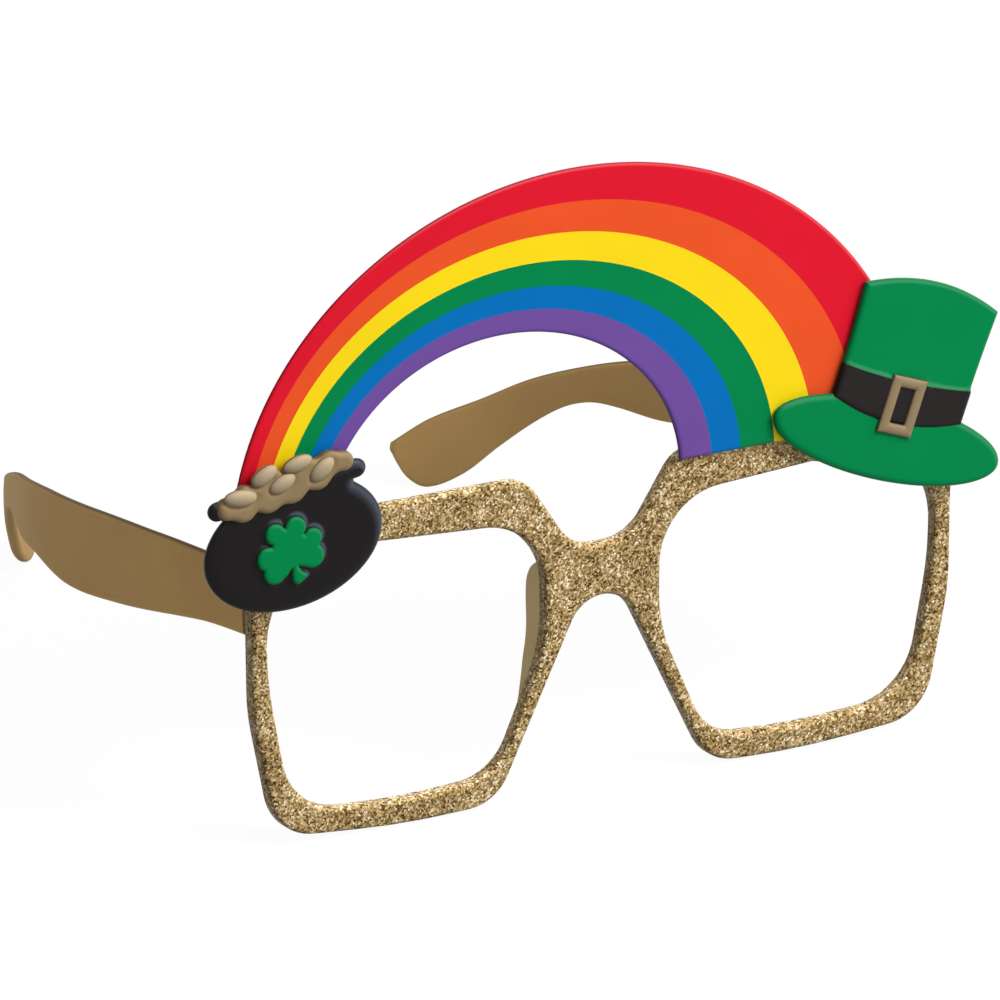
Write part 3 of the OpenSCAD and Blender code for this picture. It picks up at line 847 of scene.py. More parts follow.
@dataclass(frozen=True)
class GlitterLacquer(Finish):
    """Gold glitter in clear lacquer: flakes of metallised film lie every way, so each has its own random
    tone, partly the flake's colour and partly painted glints and painted shade.
    """

    name: str = "gold glitter in clear lacquer"
    colour: str = "A5834B"
    grain_mm: float = 0.36
    warp_mm: float = 0.8
    warp_share: float = 0.0003
    patch_mm: float = 3.0
    patch_shift: float = 0.14
    flake_lean: float = 0.8
    # The first two stops are the ramp's ends
    shades: tuple[tuple[float, str], ...] = (
        (0.0, "4A3614"),
        (1.0, "FFEECC"),
        (0.12, "6C5227"),
        (0.3, "907544"),
        (0.55, "AE905C"),
        (0.78, "CCAE7A"),
        (0.93, "E8D0A2"),
    )

    def surface(self, tree: Tree) -> dict[str, Any]:
        """What the principled shader is given.

        Args:
            tree: The material's tree.

        Returns:
            Its inputs by name.
        """
        place = output(tree, "ShaderNodeTexCoord", pick="Object")
        inputs = {"Vector": place, "Scale": per_metre(self.warp_mm), "Detail": 2.0}
        warp = output(tree, "ShaderNodeTexNoise", inputs, "Color")
        inputs = {"Factor": self.warp_share, 4: place, 5: warp}
        shifted = output(tree, "ShaderNodeMix", inputs, 1, data_type="VECTOR")
        # Glitter is cut to 0.2 or 0.4 mm, and clumps of it make blotches a little wider
        inputs = {"Vector": shifted, "Scale": per_metre(self.grain_mm)}
        flakes = output(tree, "ShaderNodeTexVoronoi", inputs, "Color")
        pick = Term(tree, output(tree, "ShaderNodeSeparateColor", {"Color": flakes}))
        # The flakes lie thicker in some patches than in others
        cloud = smooth_cloud(tree, place, self.patch_mm)
        inputs = {"Value": cloud, "To Min": -self.patch_shift, "To Max": self.patch_shift}
        patch = output(tree, "ShaderNodeMapRange", inputs)
        # Each cell takes a random tone from the ramp: its pale end stands for painted glints, its dark end
        # for painted shade of flakes turned from the light
        shade = output(tree, "ShaderNodeValToRGB", {"Fac": pick + patch}, ramp=self.shades)
        inputs = {0: flakes, 1: (0.5, 0.5, 0.5)}
        centred = output(tree, "ShaderNodeVectorMath", inputs, operation="SUBTRACT")
        inputs = {0: centred, "Scale": self.flake_lean}
        lean = output(tree, "ShaderNodeVectorMath", inputs, operation="SCALE")
        normal = output(tree, "ShaderNodeNewGeometry", pick="Normal")
        tilted = output(tree, "ShaderNodeVectorMath", {0: normal, 1: lean}, operation="ADD")
        return {
            # Painted light: the lacquer's rounded edges get a painted highlight towards the upper right and
            # painted shade towards the lower left
            "Base Color": with_painted_light(tree, shade, 0.48, 1.38),
            "Metallic": 0.2,
            "Roughness": 0.42,
            "Normal": output(tree, "ShaderNodeVectorMath", {0: tilted}, operation="NORMALIZE"),
            "Specular IOR Level": 0.1,
            "Sheen Weight": 0.3,
            "Sheen Roughness": 0.35,
            "Sheen Tint": linear("FFF0D2"),
        }


@dataclass(frozen=True)
class GlitterFlake(Finish):
    """Metallised polyester film cut into tiny hexagons: small bright glints, each with its own random tint,
    whose palest tones are painted glints.
    """

    name: str = "gold polyester glitter flake"
    colour: str = "D9B57A"
    # Random tints of the flakes; the palest stand in for flakes catching the light, as painted glints
    shades: tuple[tuple[float, str], ...] = (
        (0.0, "5A431E"),
        (1.0, "FFFCF0"),
        (0.3, "8F7342"),
        (0.6, "BB9C66"),
        (0.8, "E8D2A4"),
    )

    def surface(self, tree: Tree) -> dict[str, Any]:
        """What the principled shader is given.

        Args:
            tree: The material's tree.

        Returns:
            Its inputs by name.
        """
        place = {"attribute_name": "tint", "attribute_type": "GEOMETRY"}
        tint = output(tree, "ShaderNodeAttribute", pick="Fac", **place)
        return {
            "Base Color": output(tree, "ShaderNodeValToRGB", {"Fac": tint}, ramp=self.shades),
            "Metallic": 0.5,
            "Roughness": 0.3,
            "Specular IOR Level": 0.3,
        }


@dataclass(frozen=True)
class TurnedSteel(Finish):
    """A small turned steel screw: bright metal with fine rings."""

    name: str = "turned steel"
    colour: str = "A9A498"
    mark_mm: float = 0.12

    def surface(self, tree: Tree) -> dict[str, Any]:
        """What the principled shader is given.

        Args:
            tree: The material's tree.

        Returns:
            Its inputs by name.
        """
        # Tool marks, drawn coarser than they are so that they show
        place = output(tree, "ShaderNodeTexCoord", pick="Object")
        inputs = {"Vector": place, "Scale": per_metre(self.mark_mm), "Detail": 2.0}
        inputs = {"Value": output(tree, "ShaderNodeTexNoise", inputs), "To Min": 0.2, "To Max": 0.42}
        return {
            "Base Color": linear(self.colour),
            "Metallic": 1.0,
            "Roughness": output(tree, "ShaderNodeMapRange", inputs),
        }


def piece(
    mesh: bpy.types.Mesh, name: str, body: str, slot: str, material: bpy.types.Material, *nodes: str
) -> bpy.types.Object:
    """Puts a mesh into the scene as a piece of the object.

    Args:
        mesh: The mesh in the row's frame.
        name: The piece's name.
        body: The CAD body that it rides on.
        slot: The record's material slot; not used.
        material: Its material.
        nodes: The CAD nodes that it stands for.

    Returns:
        The piece.
    """
    made = bpy.data.objects.new(name, mesh)
    bpy.context.scene.collection.objects.link(made)
    mesh.materials.clear()
    mesh.materials.append(material)
    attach(made, body)
    if nodes:
        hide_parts(*nodes)
    LOG.info("%s: %d faces, rides on %s", name, len(mesh.polygons), body)
    return made


def plate(
    name: str, slot: str, material: bpy.types.Material, node: str, *shape: Any, **more: Any
) -> bpy.types.Object:
    """Makes a moulded flat piece of the front.

    Args:
        name: Its name.
        slot: The record's material slot.
        material: Its material.
        node: The CAD node that it stands for.
        shape: What relief takes after the name.
        more: What relief takes by name.

    Returns:
        The piece.
    """
    return piece(relief(name, *shape, **more), name, "front", slot, material, node)


def node_group(name: str, numbers: Sequence[str]) -> tuple[Tree, Any]:
    """A geometry node group that takes a geometry, named numbers and a material.

    Args:
        name: The group's name.
        numbers: The names of the numbers.

    Returns:
        The group and what it is given.
    """
    tree = bpy.data.node_groups.new(name, "GeometryNodeTree")
    kinds = [("Geometry", "Geometry"), *((number, "Float") for number in numbers), ("Material", "Material")]
    for item, kind in kinds:
        tree.interface.new_socket(item, in_out="INPUT", socket_type=f"NodeSocket{kind}")
    tree.interface.new_socket("Geometry", in_out="OUTPUT", socket_type="NodeSocketGeometry")
    return tree, add(tree, "NodeGroupInput").outputs


def close_group(tree: Tree, geometry: Socket, material: Socket) -> None:
    """Turns a group's geometry into one real mesh with its material, and sends it out.

    Args:
        tree: The group.
        geometry: Its geometry.
        material: The material it was given.
    """
    real = output(tree, "GeometryNodeRealizeInstances", {"Geometry": geometry})
    dressed = output(tree, "GeometryNodeSetMaterial", {"Geometry": real, "Material": material})
    add(tree, "NodeGroupOutput", {0: dressed})


# Sub-assemblies


@dataclass
class FrontFrame:
    """The glitter front with its nose wings."""

    width: float = 144.4
    height: float = 60.7
    thickness: float = 3.0
    rim_side: float = 3.2
    rim_bottom: float = 4.2
    rim_top: float = 7.6
    bridge_w: float = 23.4
    dip_z: float = 46.0
    arch_z: float = 36.4
    arch_r: float = 7.0
    arch_slope: float = 63.5
    nose_foot_x: float = 21.9
    rim_bow: float = 0.27
    face_rim: Rim = Rim(0.9, 0.75)
    back_rim: Rim = Rim(0.6, 0.5)
    flake_w: float = 0.4
    flakes_per_mm2: float = 1.0
    least_facing: float = 0.97

    def outlines(self) -> list[np.ndarray]:
        """Draws the front's outlines.

        Returns:
            The outer outline and the two eye openings, each with the rim on its left.
        """
        half = self.width / 2
        # Each corner's x, z and radius, for the right half
        outer = [
            [6, self.dip_z, 9],
            [15.7, self.height, 6.5],
            [half + 1, self.height, 7],
            [half + 0.1, self.height - 18, 60],
            [half - 0.2, self.height - 35, 40],
            [half - 5.2, 1.9, 10],
            [40, -self.rim_bow, 170],
            [self.nose_foot_x, 0.6, 9],
        ]
        slope = math.radians(self.arch_slope)
        peak = self.arch_z + self.arch_r / math.cos(slope) - self.arch_r
        opening = [
            [self.bridge_w / 2 + 0.3, self.height - self.rim_top - 1, 13],
            [half + 0.2 - self.rim_side, self.height - self.rim_top + 2.4, 16],
            [half - 0.2 - self.rim_side, self.height - 29.5, 60],
            [half - 5.1 - self.rim_side, self.rim_bottom + 2, 13],
            [40, self.rim_bottom, 150],
            [self.nose_foot_x - 0.1, self.rim_bottom + 1.6, 11],
            [self.bridge_w / 2, self.arch_z - 7.8, 30],
        ]
        whole = rounded([*outer, [0, peak, self.arch_r], *flipped(outer)])
        return [whole[::-1], rounded(opening), rounded(flipped(opening))]

    def build(self) -> None:
        """Builds the front, its glitter and the nose wings."""
        half_t = self.thickness / 2
        mesh = relief("glitter_front", self.outlines(), -half_t, half_t, self.face_rim, self.back_rim)
        for vertex in mesh.vertices:
            vertex.co.z = max(vertex.co.z, 0.0)
        shell = piece(mesh, "glitter_front", "front", "gold_glitter", GlitterLacquer().make(), "front_frame")
        self.scatter(shell)
        # The paint, its flecks, and the darker tone painted on the wings' edges as shade
        gold = MetallicPaint("matt gold paint on nose wings", "C6B184", "D6C498", "5E4E32").make()
        for side in Side:
            self.wing(side, gold)

    def scatter(self, shell: bpy.types.Object) -> None:
        """Scatters glitter flakes over the front, as a mesh of their own.

        Args:
            shell: The front that they lie on.
        """
        material = GlitterFlake().make()
        tree = FlakeTree().make()
        carrier = bpy.data.objects.new("flake_carrier", shell.data.copy())
        bpy.context.scene.collection.objects.link(carrier)
        values = {
            "Density": self.flakes_per_mm2 / MM**2,
            "Flake Width": self.flake_w * MM,
            "Least Facing": self.least_facing,
            "Material": material,
        }
        mesh = grown(carrier, tree, values, "glitter_flakes")
        piece(mesh, "glitter_flakes", "front", "gold_glitter", material)

    def wing(self, side: Side, gold: bpy.types.Material) -> None:
        """Builds the nose wing of one side.

        Args:
            side: The side.
            gold: Its paint.
        """
        wing_len, wing_t, reach, flare = 28.0, 1.3, 3.6, 0.3
        edge_knots = [[0, 0], [8, -0.1], [15, 0.4], [20, 1.8], [24, 3.3], [wing_len, 4.9]]
        depth_knots = [[0, 0.1], [2, 0.7], [5.5, 1], [13, 0.9], [18.5, 0.74], [25.5, 0.24], [wing_len, 0.1]]
        sections = []
        for down in np.linspace(0.15, wing_len - 0.15, 57):
            edge = self.bridge_w / 2 + along(edge_knots, down) - wing_t / 2
            d = reach * along(depth_knots, down)
            turns = [(-1, -0.5)]
            turns += [(-math.cos(a), math.sin(a)) for a in np.linspace(0, math.pi, 9)]
            turns += [(1, -0.5)]
            round_d = min(wing_t / 2, d * 0.9)
            ring = []
            for across, up in turns:
                y = self.thickness / 2 + (d - round_d + round_d * up if up >= 0 else up)
                x = edge + across * wing_t / 2 + flare * max(0.0, y - self.thickness / 2)
                ring.append([side.value * x, y, self.dip_z - 2 - down])
            sections.append(np.array(ring))
        node = f"nose_wing_{side.word}"
        mesh = loft(f"{node}_fin", sections, flank=True)
        piece(mesh, f"{node}_fin", "front", "gold_plastic", gold, node)


@dataclass(frozen=True)
class FlakeTree:
    """Geometry nodes that lay hexagonal flakes on a surface, each turned and tilted its own way."""

    seed: int = 7
    tilt: float = 0.16
    lift_mm: float = 0.03
    smallest: float = 0.55
    largest: float = 1.15

    def make(self) -> Tree:
        """Makes the node group.

        Returns:
            The group.
        """
        tree, given = node_group("glitter flakes", ("Density", "Flake Width", "Least Facing"))
        # Flakes lie on the flat faces alone, so that the outline stays smooth
        facing = add(tree, "GeometryNodeInputNamedAttribute", {"Name": "face"}, data_type="FLOAT")
        inputs = {"A": facing.outputs["Attribute"], "B": given["Least Facing"]}
        above = output(tree, "FunctionNodeCompare", inputs, operation="GREATER_THAN")
        inputs = {"Mesh": given["Geometry"], "Selection": above, "Density": given["Density"]}
        dots = add(tree, "GeometryNodeDistributePointsOnFaces", {**inputs, "Seed": self.seed}).outputs
        inputs = {0: dots["Normal"], "Scale": self.lift_mm * MM}
        lifted = output(tree, "ShaderNodeVectorMath", inputs, operation="SCALE")
        raised = output(tree, "GeometryNodeSetPosition", {"Geometry": dots["Points"], "Offset": lifted})
        tint = add(tree, "FunctionNodeRandomValue", {"Seed": self.seed + 1}, data_type="FLOAT")
        inputs = {"Geometry": raised, "Name": "tint", "Value": tint.outputs["Value"]}
        tinted = output(tree, "GeometryNodeStoreNamedAttribute", inputs, data_type="FLOAT", domain="POINT")
        radius = Term(tree, given["Flake Width"]) * 0.5
        flake = output(tree, "GeometryNodeMeshCircle", {"Vertices": 6, "Radius": radius}, fill_type="NGON")
        low, high = (-self.tilt, -self.tilt, 0.0), (self.tilt, self.tilt, math.tau)
        inputs = {"Min": low, "Max": high, "Seed": self.seed + 2}
        turn = output(tree, "FunctionNodeRandomValue", inputs, data_type="FLOAT_VECTOR")
        turned = output(tree, "FunctionNodeEulerToRotation", {0: turn})
        inputs = {"Rotation": dots["Rotation"], "Rotate By": turned}
        way = output(tree, "FunctionNodeRotateRotation", inputs, rotation_space="LOCAL")
        inputs = {2: self.smallest, 3: self.largest, "Seed": self.seed + 3}
        size = add(tree, "FunctionNodeRandomValue", inputs, data_type="FLOAT").outputs["Value"]
        inputs = {"Points": tinted, "Instance": flake, "Rotation": way, "Scale": size}
        close_group(tree, output(tree, "GeometryNodeInstanceOnPoints", inputs), given["Material"])
        return tree


def grown(carrier: bpy.types.Object, tree: Tree, values: dict[str, Any], name: str) -> bpy.types.Mesh:
    """The plain mesh that a geometry node tree makes, with the carrier removed.

    Args:
        carrier: The object whose mesh the tree starts from.
        tree: The tree.
        values: Its inputs by name.
        name: The name of the new mesh.

    Returns:
        The mesh.
    """
    modifier = carrier.modifiers.new(tree.name, "NODES")
    modifier.node_group = tree
    for item in tree.interface.items_tree:
        if item.in_out == "INPUT" and item.name in values:
            modifier[item.identifier] = values[item.name]
    carrier.update_tag()
    evaluated = carrier.evaluated_get(bpy.context.evaluated_depsgraph_get())
    mesh = bpy.data.meshes.new_from_object(evaluated)
    mesh.name = name
    carrier.modifiers.clear()
    start = carrier.data
    bpy.data.objects.remove(carrier)
    bpy.data.meshes.remove(start)
    return mesh


@dataclass
class Rainbow:
    """Six bands on a backing plate, each between two half ellipses on a common base line."""

    centre_z: float = 57.7
    ratio: float = 0.861
    foot_left: float = -58.3
    foot_right: float = 15.1
    left_w: tuple[float, ...] = (3.3, 3.3, 3.3, 3.3, 3.2, 2.5)
    right_w: tuple[float, ...] = (6.3, 6.0, 7.0, 8.1, 9.3, 11.4)
    foot_z: float = 59.6
    heap_foot_z: float = 62.9
    face: float = -3.1
    back: float = -2.3
    frame_face: float = -1.5
    backing_inset: float = 0.6
    rim: Rim = Rim(0.75, 0.42)
    # Each band's name, its paint and the darker tone painted on its edges and walls as shade
    colours: tuple[tuple[str, str, str], ...] = (
        ("purple", "714F9F", "37264E"),
        ("blue", "0470BC", "063A60"),
        ("green", "00864A", "04452A"),
        ("yellow", "FFDE1A", "8C7A12"),
        ("orange", "F05628", "7A2C16"),
        ("red", "E2192F", "5A1018"),
    )

    def feet(self, k: int) -> tuple[float, float]:
        """The left and right ends of the edge inside band k on the base line."""
        return self.foot_left - sum(self.left_w[:k]), self.foot_right + sum(self.right_w[:k])

    def arc(self, k: int, steps: int = 181) -> np.ndarray:
        """Points of the edge inside band k from right to left.

        Args:
            k: The band, counted from the inside.
            steps: The number of points.

        Returns:
            The points in order.
        """
        left, right = self.feet(k)
        t = np.linspace(0, np.pi, steps)
        x = (right + left) / 2 + (right - left) / 2 * np.cos(t)
        return np.stack([x, self.centre_z + (right - left) / 2 * self.ratio * np.sin(t)], axis=1)

    def build(self) -> None:
        """Builds the bands and the backing."""
        tree = BandTree().make()
        last = len(self.colours) - 1
        for k, (colour, paint, edge) in enumerate(self.colours):
            material = PaintedPlastic(f"satin {colour} paint on ABS", paint, edge).make()
            values = {
                "Rise": self.ratio,
                "Base": self.centre_z,
                "Right Cut": self.foot_z,
                "Left Cut": self.heap_foot_z,
                "Face": self.face,
                "Back": self.back,
                "Rim Reach": self.rim.reach,
                "Rim Fall": self.rim.fall,
                "Material": material,
            }
            for side, inside_band, has_rim in (("Inner", k, k == 0), ("Outer", k + 1, k == last)):
                left, right = self.feet(inside_band)
                values[f"{side} Middle"] = (left + right) / 2
                values[f"{side} Half Width"] = (right - left) / 2
                values[f"{side} Rim"] = float(has_rim)
            carrier = bpy.data.objects.new("band_start", bpy.data.meshes.new("band_start"))
            bpy.context.scene.collection.objects.link(carrier)
            mesh = finished(grown(carrier, tree, values, f"{colour}_band"), recalculate=True)
            piece(mesh, f"{colour}_band", "front", f"band_{colour}", material, f"rainbow_{colour}")
        self.build_backing()

    def build_backing(self) -> None:
        """Builds the plate that carries the bands, a little narrower than they are."""
        loop = cad_loops("rainbow_backing", self.frame_face)[0]
        centre = np.array([sum(self.feet(0)) / 2, self.centre_z])
        toward = unit(centre - loop)
        for k, way in ((0, -1.0), (len(self.colours), 1.0)):
            on_edge = distance(loop, [self.arc(k)]) < 0.06
            loop = np.where(on_edge[:, None], loop + toward * way * self.backing_inset, loop)
        # The paint, and the darker tone painted on the backing's edges as shade
        plain = PaintedPlastic("moulded black ABS", "2A2627", "1C191A", 0.5, 0.2, 0.5, 0.02).make()
        shape = ([loop], self.back, self.frame_face, Rim(0.15, 0.1), Rim(0.4, 0.3))
        plate("backing_plate", "backing_plastic", plain, "rainbow_backing", *shape)


@dataclass(frozen=True)
class BandTree:
    """Geometry nodes for one rainbow band: a grid laid between two half ellipses and closed to a plate."""

    columns: int = 241
    rows: int = 27
    # How far away an edge without a rim counts as being, in millimetres
    no_rim: float = 99.0
    merge_mm: float = 0.0005

    def edge(self, given: dict[str, Term], side: str, way: Term) -> tuple[Term, Term]:
        """A point of one of the band's long edges.

        Args:
            given: What the group is given.
            side: Inner or Outer.
            way: The share of the way along the edge, from its right end.

        Returns:
            The point's x and z.
        """
        half, base = given[f"{side} Half Width"], given["Base"]
        height = half * given["Rise"]
        first = ((given["Right Cut"] - base) / height).run("ARCSINE")
        last = math.pi - ((given["Left Cut"] - base) / height).run("ARCSINE")
        angle = first + (last - first) * way
        return angle.run("COSINE") * half + given[f"{side} Middle"], angle.run("SINE") * height + base

    def make(self) -> Tree:
        """Makes the node group.

        Returns:
            The group.
        """
        names = ["Rise", "Base", "Right Cut", "Left Cut", "Face", "Back", "Rim Reach", "Rim Fall"]
        names += [f"{side} {part}" for side in ("Inner", "Outer") for part in ("Middle", "Half Width", "Rim")]
        tree, sockets = node_group("rainbow band", names)
        given = {name: Term(tree, sockets[name]) for name in names}
        size = {"Size X": 1.0, "Size Y": 1.0, "Vertices X": self.columns, "Vertices Y": self.rows}
        grid = output(tree, "GeometryNodeMeshGrid", size)
        place = add(tree, "ShaderNodeSeparateXYZ", {0: output(tree, "GeometryNodeInputPosition")}).outputs
        u, v = Term(tree, place["X"]) + 0.5, Term(tree, place["Y"]) + 0.5
        # Columns lie closer together towards the right foot, and rows towards both edges
        way = u * 0.25 + u**3.0 * 0.75
        across = (1.0 - (v * math.pi).run("COSINE")) * 0.5
        inner, outer = self.edge(given, "Inner", way), self.edge(given, "Outer", way)
        dx, dz = outer[0] - inner[0], outer[1] - inner[1]
        x, z = inner[0] + dx * across, inner[1] + dz * across
        width = (dx * dx + dz * dz).run("SQRT")
        to_inner = across * width + (1.0 - given["Inner Rim"]) * self.no_rim
        to_outer = (1.0 - across) * width + (1.0 - given["Outer Rim"]) * self.no_rim
        nearest = to_inner.run("MINIMUM", to_outer).run("MINIMUM", z - given["Right Cut"])
        over = 1.0 - (nearest / given["Rim Reach"]).run("MAXIMUM", 0.0).run("MINIMUM", 1.0)
        drop = (1.0 - (1.0 - over * over).run("SQRT")) * given["Rim Fall"]
        front = output(tree, "ShaderNodeCombineXYZ", {"X": x, "Y": given["Face"] + drop, "Z": z})
        rear = output(tree, "ShaderNodeCombineXYZ", {"X": x, "Y": given["Back"], "Z": z})
        kept = add(tree, "GeometryNodeCaptureAttribute", {"Geometry": grid})
        kept.capture_items.new("VECTOR", "Front")
        tree.links.new(front, kept.inputs["Front"])
        inputs = {"Geometry": kept.outputs["Geometry"], "Position": rear}
        flat = output(tree, "GeometryNodeSetPosition", inputs)
        inputs = {"Mesh": flat, "Offset": (0.0, -1.0, 0.0), "Individual": False}
        risen = add(tree, "GeometryNodeExtrudeMesh", inputs, mode="FACES").outputs
        inputs = {"Geometry": risen["Mesh"], "Selection": risen["Top"], "Position": kept.outputs["Front"]}
        shaped = output(tree, "GeometryNodeSetPosition", inputs)
        both = add(tree, "GeometryNodeJoinGeometry")
        tree.links.new(shaped, both.inputs[0])
        tree.links.new(output(tree, "GeometryNodeFlipFaces", {"Mesh": flat}), both.inputs[0])
        inputs = {"Geometry": both.outputs[0], "Distance": self.merge_mm}
        close_group(tree, output(tree, "GeometryNodeMergeByDistance", inputs), sockets["Material"])
        return tree


@dataclass
class PotOfGold:
    """The black pot with its heap of gold, the domed coins and the shamrock."""

    x: float = -65.3
    z: float = 57.9
    tilt: float = 7.0
    lip_z: float = 10.4
    face: float = -5.1
    back: float = -3.1
    relief_y: float = -6.1
    coin_rim: float = -5.9
    coin_dome: float = 1.15
    coin_back: float = 1.4
    heap_melt: int = 7
    # Each coin's x, its height over the lip, its half width and half height, and its tilt in degrees
    coins: tuple[tuple[float, ...], ...] = (
        (-10.4, 2.0, 3.3, 1.6, -10),
        (-5.2, 4.8, 2.75, 1.5, 22),
        (-1.8, 2.3, 2.8, 1.5, 17),
        (1.7, 5.1, 3.0, 1.45, 7),
        (6.4, 2.6, 2.85, 1.6, 30),
    )

    def coin_loop(self, c: Sequence[float], grow: float = 0.0) -> np.ndarray:
        """The outline of a coin, grown by a margin."""
        level = placed(ellipse(c[2] + grow, c[3] + grow, 48), c[0], self.lip_z + c[1], c[4])
        return placed(level, self.x, self.z, self.tilt)

    def build(self) -> None:
        """Builds the pot and all that is on it."""
        leaf = cad_loops("shamrock", self.relief_y)
        heap = [softened(loop, 0.35, self.heap_melt) for loop in cad_loops("coin_heap", self.relief_y)]
        # The pot has no sheen, and a stronger pale bluish painted highlight on its slopes towards the upper
        # right; its near-black edge tone is painted shade
        line = {"haze": 0.0, "painted_highlight": "8E97AE", "painted_highlight_share": 0.2}
        pot = PaintedPlastic("satin black paint on ABS", "130F10", "010101", 0.34, 0.13, **line).make()
        shape = (cad_loops("pot_body", self.face), self.face, self.back, Rim(3.0, 0.95), Rim(0.8, 0.6))
        plate("pot", "pot_black", pot, "pot_body", *shape, welts=[Welt((leaf[0],), 0.26, 0.55)])
        # The heap's paint, its flecks and the darker tone painted on its edges as shade, with a painted
        # highlight and painted shade on its slopes
        painted_light_look = {"edge_from": 0.0, "edge_to": 0.45, "painted_modelling": 0.35}
        tones = ("8F7A58", "AB9468", "6A573A")
        gold = MetallicPaint("matt bronze-gold paint on ABS", *tones, 0.55, 0.08, **painted_light_look).make()
        shape = (heap, self.relief_y, self.back, Rim(1.3, 0.95), Rim(1.6, 1.3))
        # The heap sinks a little round each coin
        dents = [Welt((self.coin_loop(c, 0.15),), -0.15, 0.5) for c in self.coins]
        plate("heap_of_gold", "heap_gold", gold, "coin_heap", *shape, welts=dents, step=0.35)
        # The coins' paint, its flecks and the darker tone painted on their edges as shade, with a painted
        # highlight and painted shade on their slopes
        painted_light_look = {"edge_from": 0.0, "edge_to": 0.4, "painted_modelling": 0.45}
        tones = ("A8977A", "BFB08D", "665A46")
        pale = MetallicPaint("satin pale gold paint on ABS", *tones, 0.5, 0.06, **painted_light_look).make()
        for i, c in enumerate(self.coins):
            self.build_coin(i, c, pale)
        # A faint painted highlight on the leaf's slopes towards the upper right, and painted shade on its
        # edges
        green = PaintedPlastic("satin green paint on shamrock", "00884A", "035230", painted_highlight_share=0.025).make()
        shape = (leaf, self.relief_y, self.face, Rim(0.8, 0.42), Rim(0.1, 0.05))
        plate("shamrock_leaf", "leaf_green", green, "shamrock", *shape, step=0.3)

    def build_coin(self, i: int, c: Sequence[float], pale: bpy.types.Material) -> None:
        """Builds one domed coin, a lens that lies half in the heap.

        Args:
            i: Its number, from zero.
            c: Its row of coins.
            pale: Its paint.
        """
        sections = []
        for turn in np.linspace(-0.48 * math.pi, 0.48 * math.pi, 25):
            k = math.cos(turn)
            level = placed(ellipse(c[2] * k, c[3] * k, 48), c[0], self.lip_z + c[1], c[4])
            ring = placed(level, self.x, self.z, self.tilt)
            bulge = self.coin_dome if turn > 0 else self.coin_back
            depth = np.full(len(ring), self.coin_rim - bulge * math.sin(turn))
            sections.append(np.stack([ring[:, 0], depth, ring[:, 1]], axis=1))
        name = f"domed_coin_{i + 1}"
        piece(loft(name, sections), name, "front", "coin_gold", pale, f"coin_{i + 1}")


@dataclass
class Hat:
    """The tall green hat with its band and buckle."""

    x: float = 56.9
    z: float = 56.7
    tilt: float = -20.2
    brim_w: float = 49.6
    brim_h: float = 14.9
    face: float = -5.1
    back: float = -3.1
    band_face: float = -5.5
    buckle_face: float = -6.2
    wrap: float = 0.12
    crown_rim: Rim = Rim(0.9, 0.7)
    back_rim: Rim = Rim(1.1, 1.0)

    def build(self) -> None:
        """Builds the hat's four parts."""
        # Each paint gets painted shade on its edges; the green also gets a faint painted highlight, and the
        # buckle a painted highlight and shade on its rounded bars
        green = PaintedPlastic(
            "satin green paint on hat", "00864A", "026438", edge_from=0.0, edge_to=0.4, painted_highlight_share=0.035
        ).make()
        black = PaintedPlastic("satin black paint on hat band", "2B2626", "1A1616").make()
        bronze = MetallicPaint(
            "satin bronze-gold paint on buckle", "8F7B5E", "AC9670", "4A3A24", 0.45, 0.12, painted_modelling=0.25
        ).make()
        crown = cad_loops("hat_crown", self.face)
        band = cad_loops("hat_band", self.band_face)
        buckle = cad_loops("hat_buckle", self.buckle_face)
        outer_buckle = max(buckle, key=lambda loop: np.ptp(loop[:, 0]))
        brim_edge = placed(ellipse(self.brim_w / 2, self.brim_h / 2, 144), self.x, self.z, self.tilt)
        lift = Welt((outer_buckle,), 0.1, 0.9)
        shape = (crown, self.face, self.back, self.crown_rim, self.back_rim)
        welts = [Welt((band[0],), 0.3, 0.4), lift]
        plate("crown_of_hat", "hat_green", green, "hat_crown", *shape, welts=welts)
        shape = (cad_loops("hat_brim", self.face), self.face, self.back, Rim(1.2, 0.75), self.back_rim)
        plate("brim_of_hat", "hat_green", green, "hat_brim", *shape, rim_loops=[brim_edge], welts=[lift])
        # The band's back is sunk a little, so that it never lies in the crown's back
        loops, back = [self.wrapped(band[0], crown)], self.back + 0.03
        shape = (loops, self.band_face, back, self.crown_rim, self.back_rim)
        edges, welts = [self.grown_out(loop) for loop in crown], [Welt((outer_buckle,), 0.2, 0.8)]
        plate("band_of_hat", "band_black", black, "hat_band", *shape, rim_loops=edges, welts=welts)
        shape = (buckle, self.buckle_face, self.band_face, Rim(1.1, 0.6), Rim(0.2, 0.05))
        plate("buckle_of_hat", "buckle_bronze", bronze, "hat_buckle", *shape, step=0.3)

    def grown_out(self, loop: np.ndarray) -> np.ndarray:
        """A loop with each point moved sideways by the wrap, away from the hat's middle line.

        Args:
            loop: The loop.

        Returns:
            The wider loop.
        """
        level = placed(loop - np.array([self.x, self.z]), 0, 0, -self.tilt)
        level[:, 0] += np.sign(level[:, 0]) * self.wrap
        return placed(level, self.x, self.z, self.tilt)

    def wrapped(self, loop: np.ndarray, crown: Sequence[np.ndarray]) -> np.ndarray:
        """The band's outline with its two ends moved out past the crown's sides."""
        at_end = distance(loop, crown) < 0.1
        return np.where(at_end[:, None], self.grown_out(loop), loop)


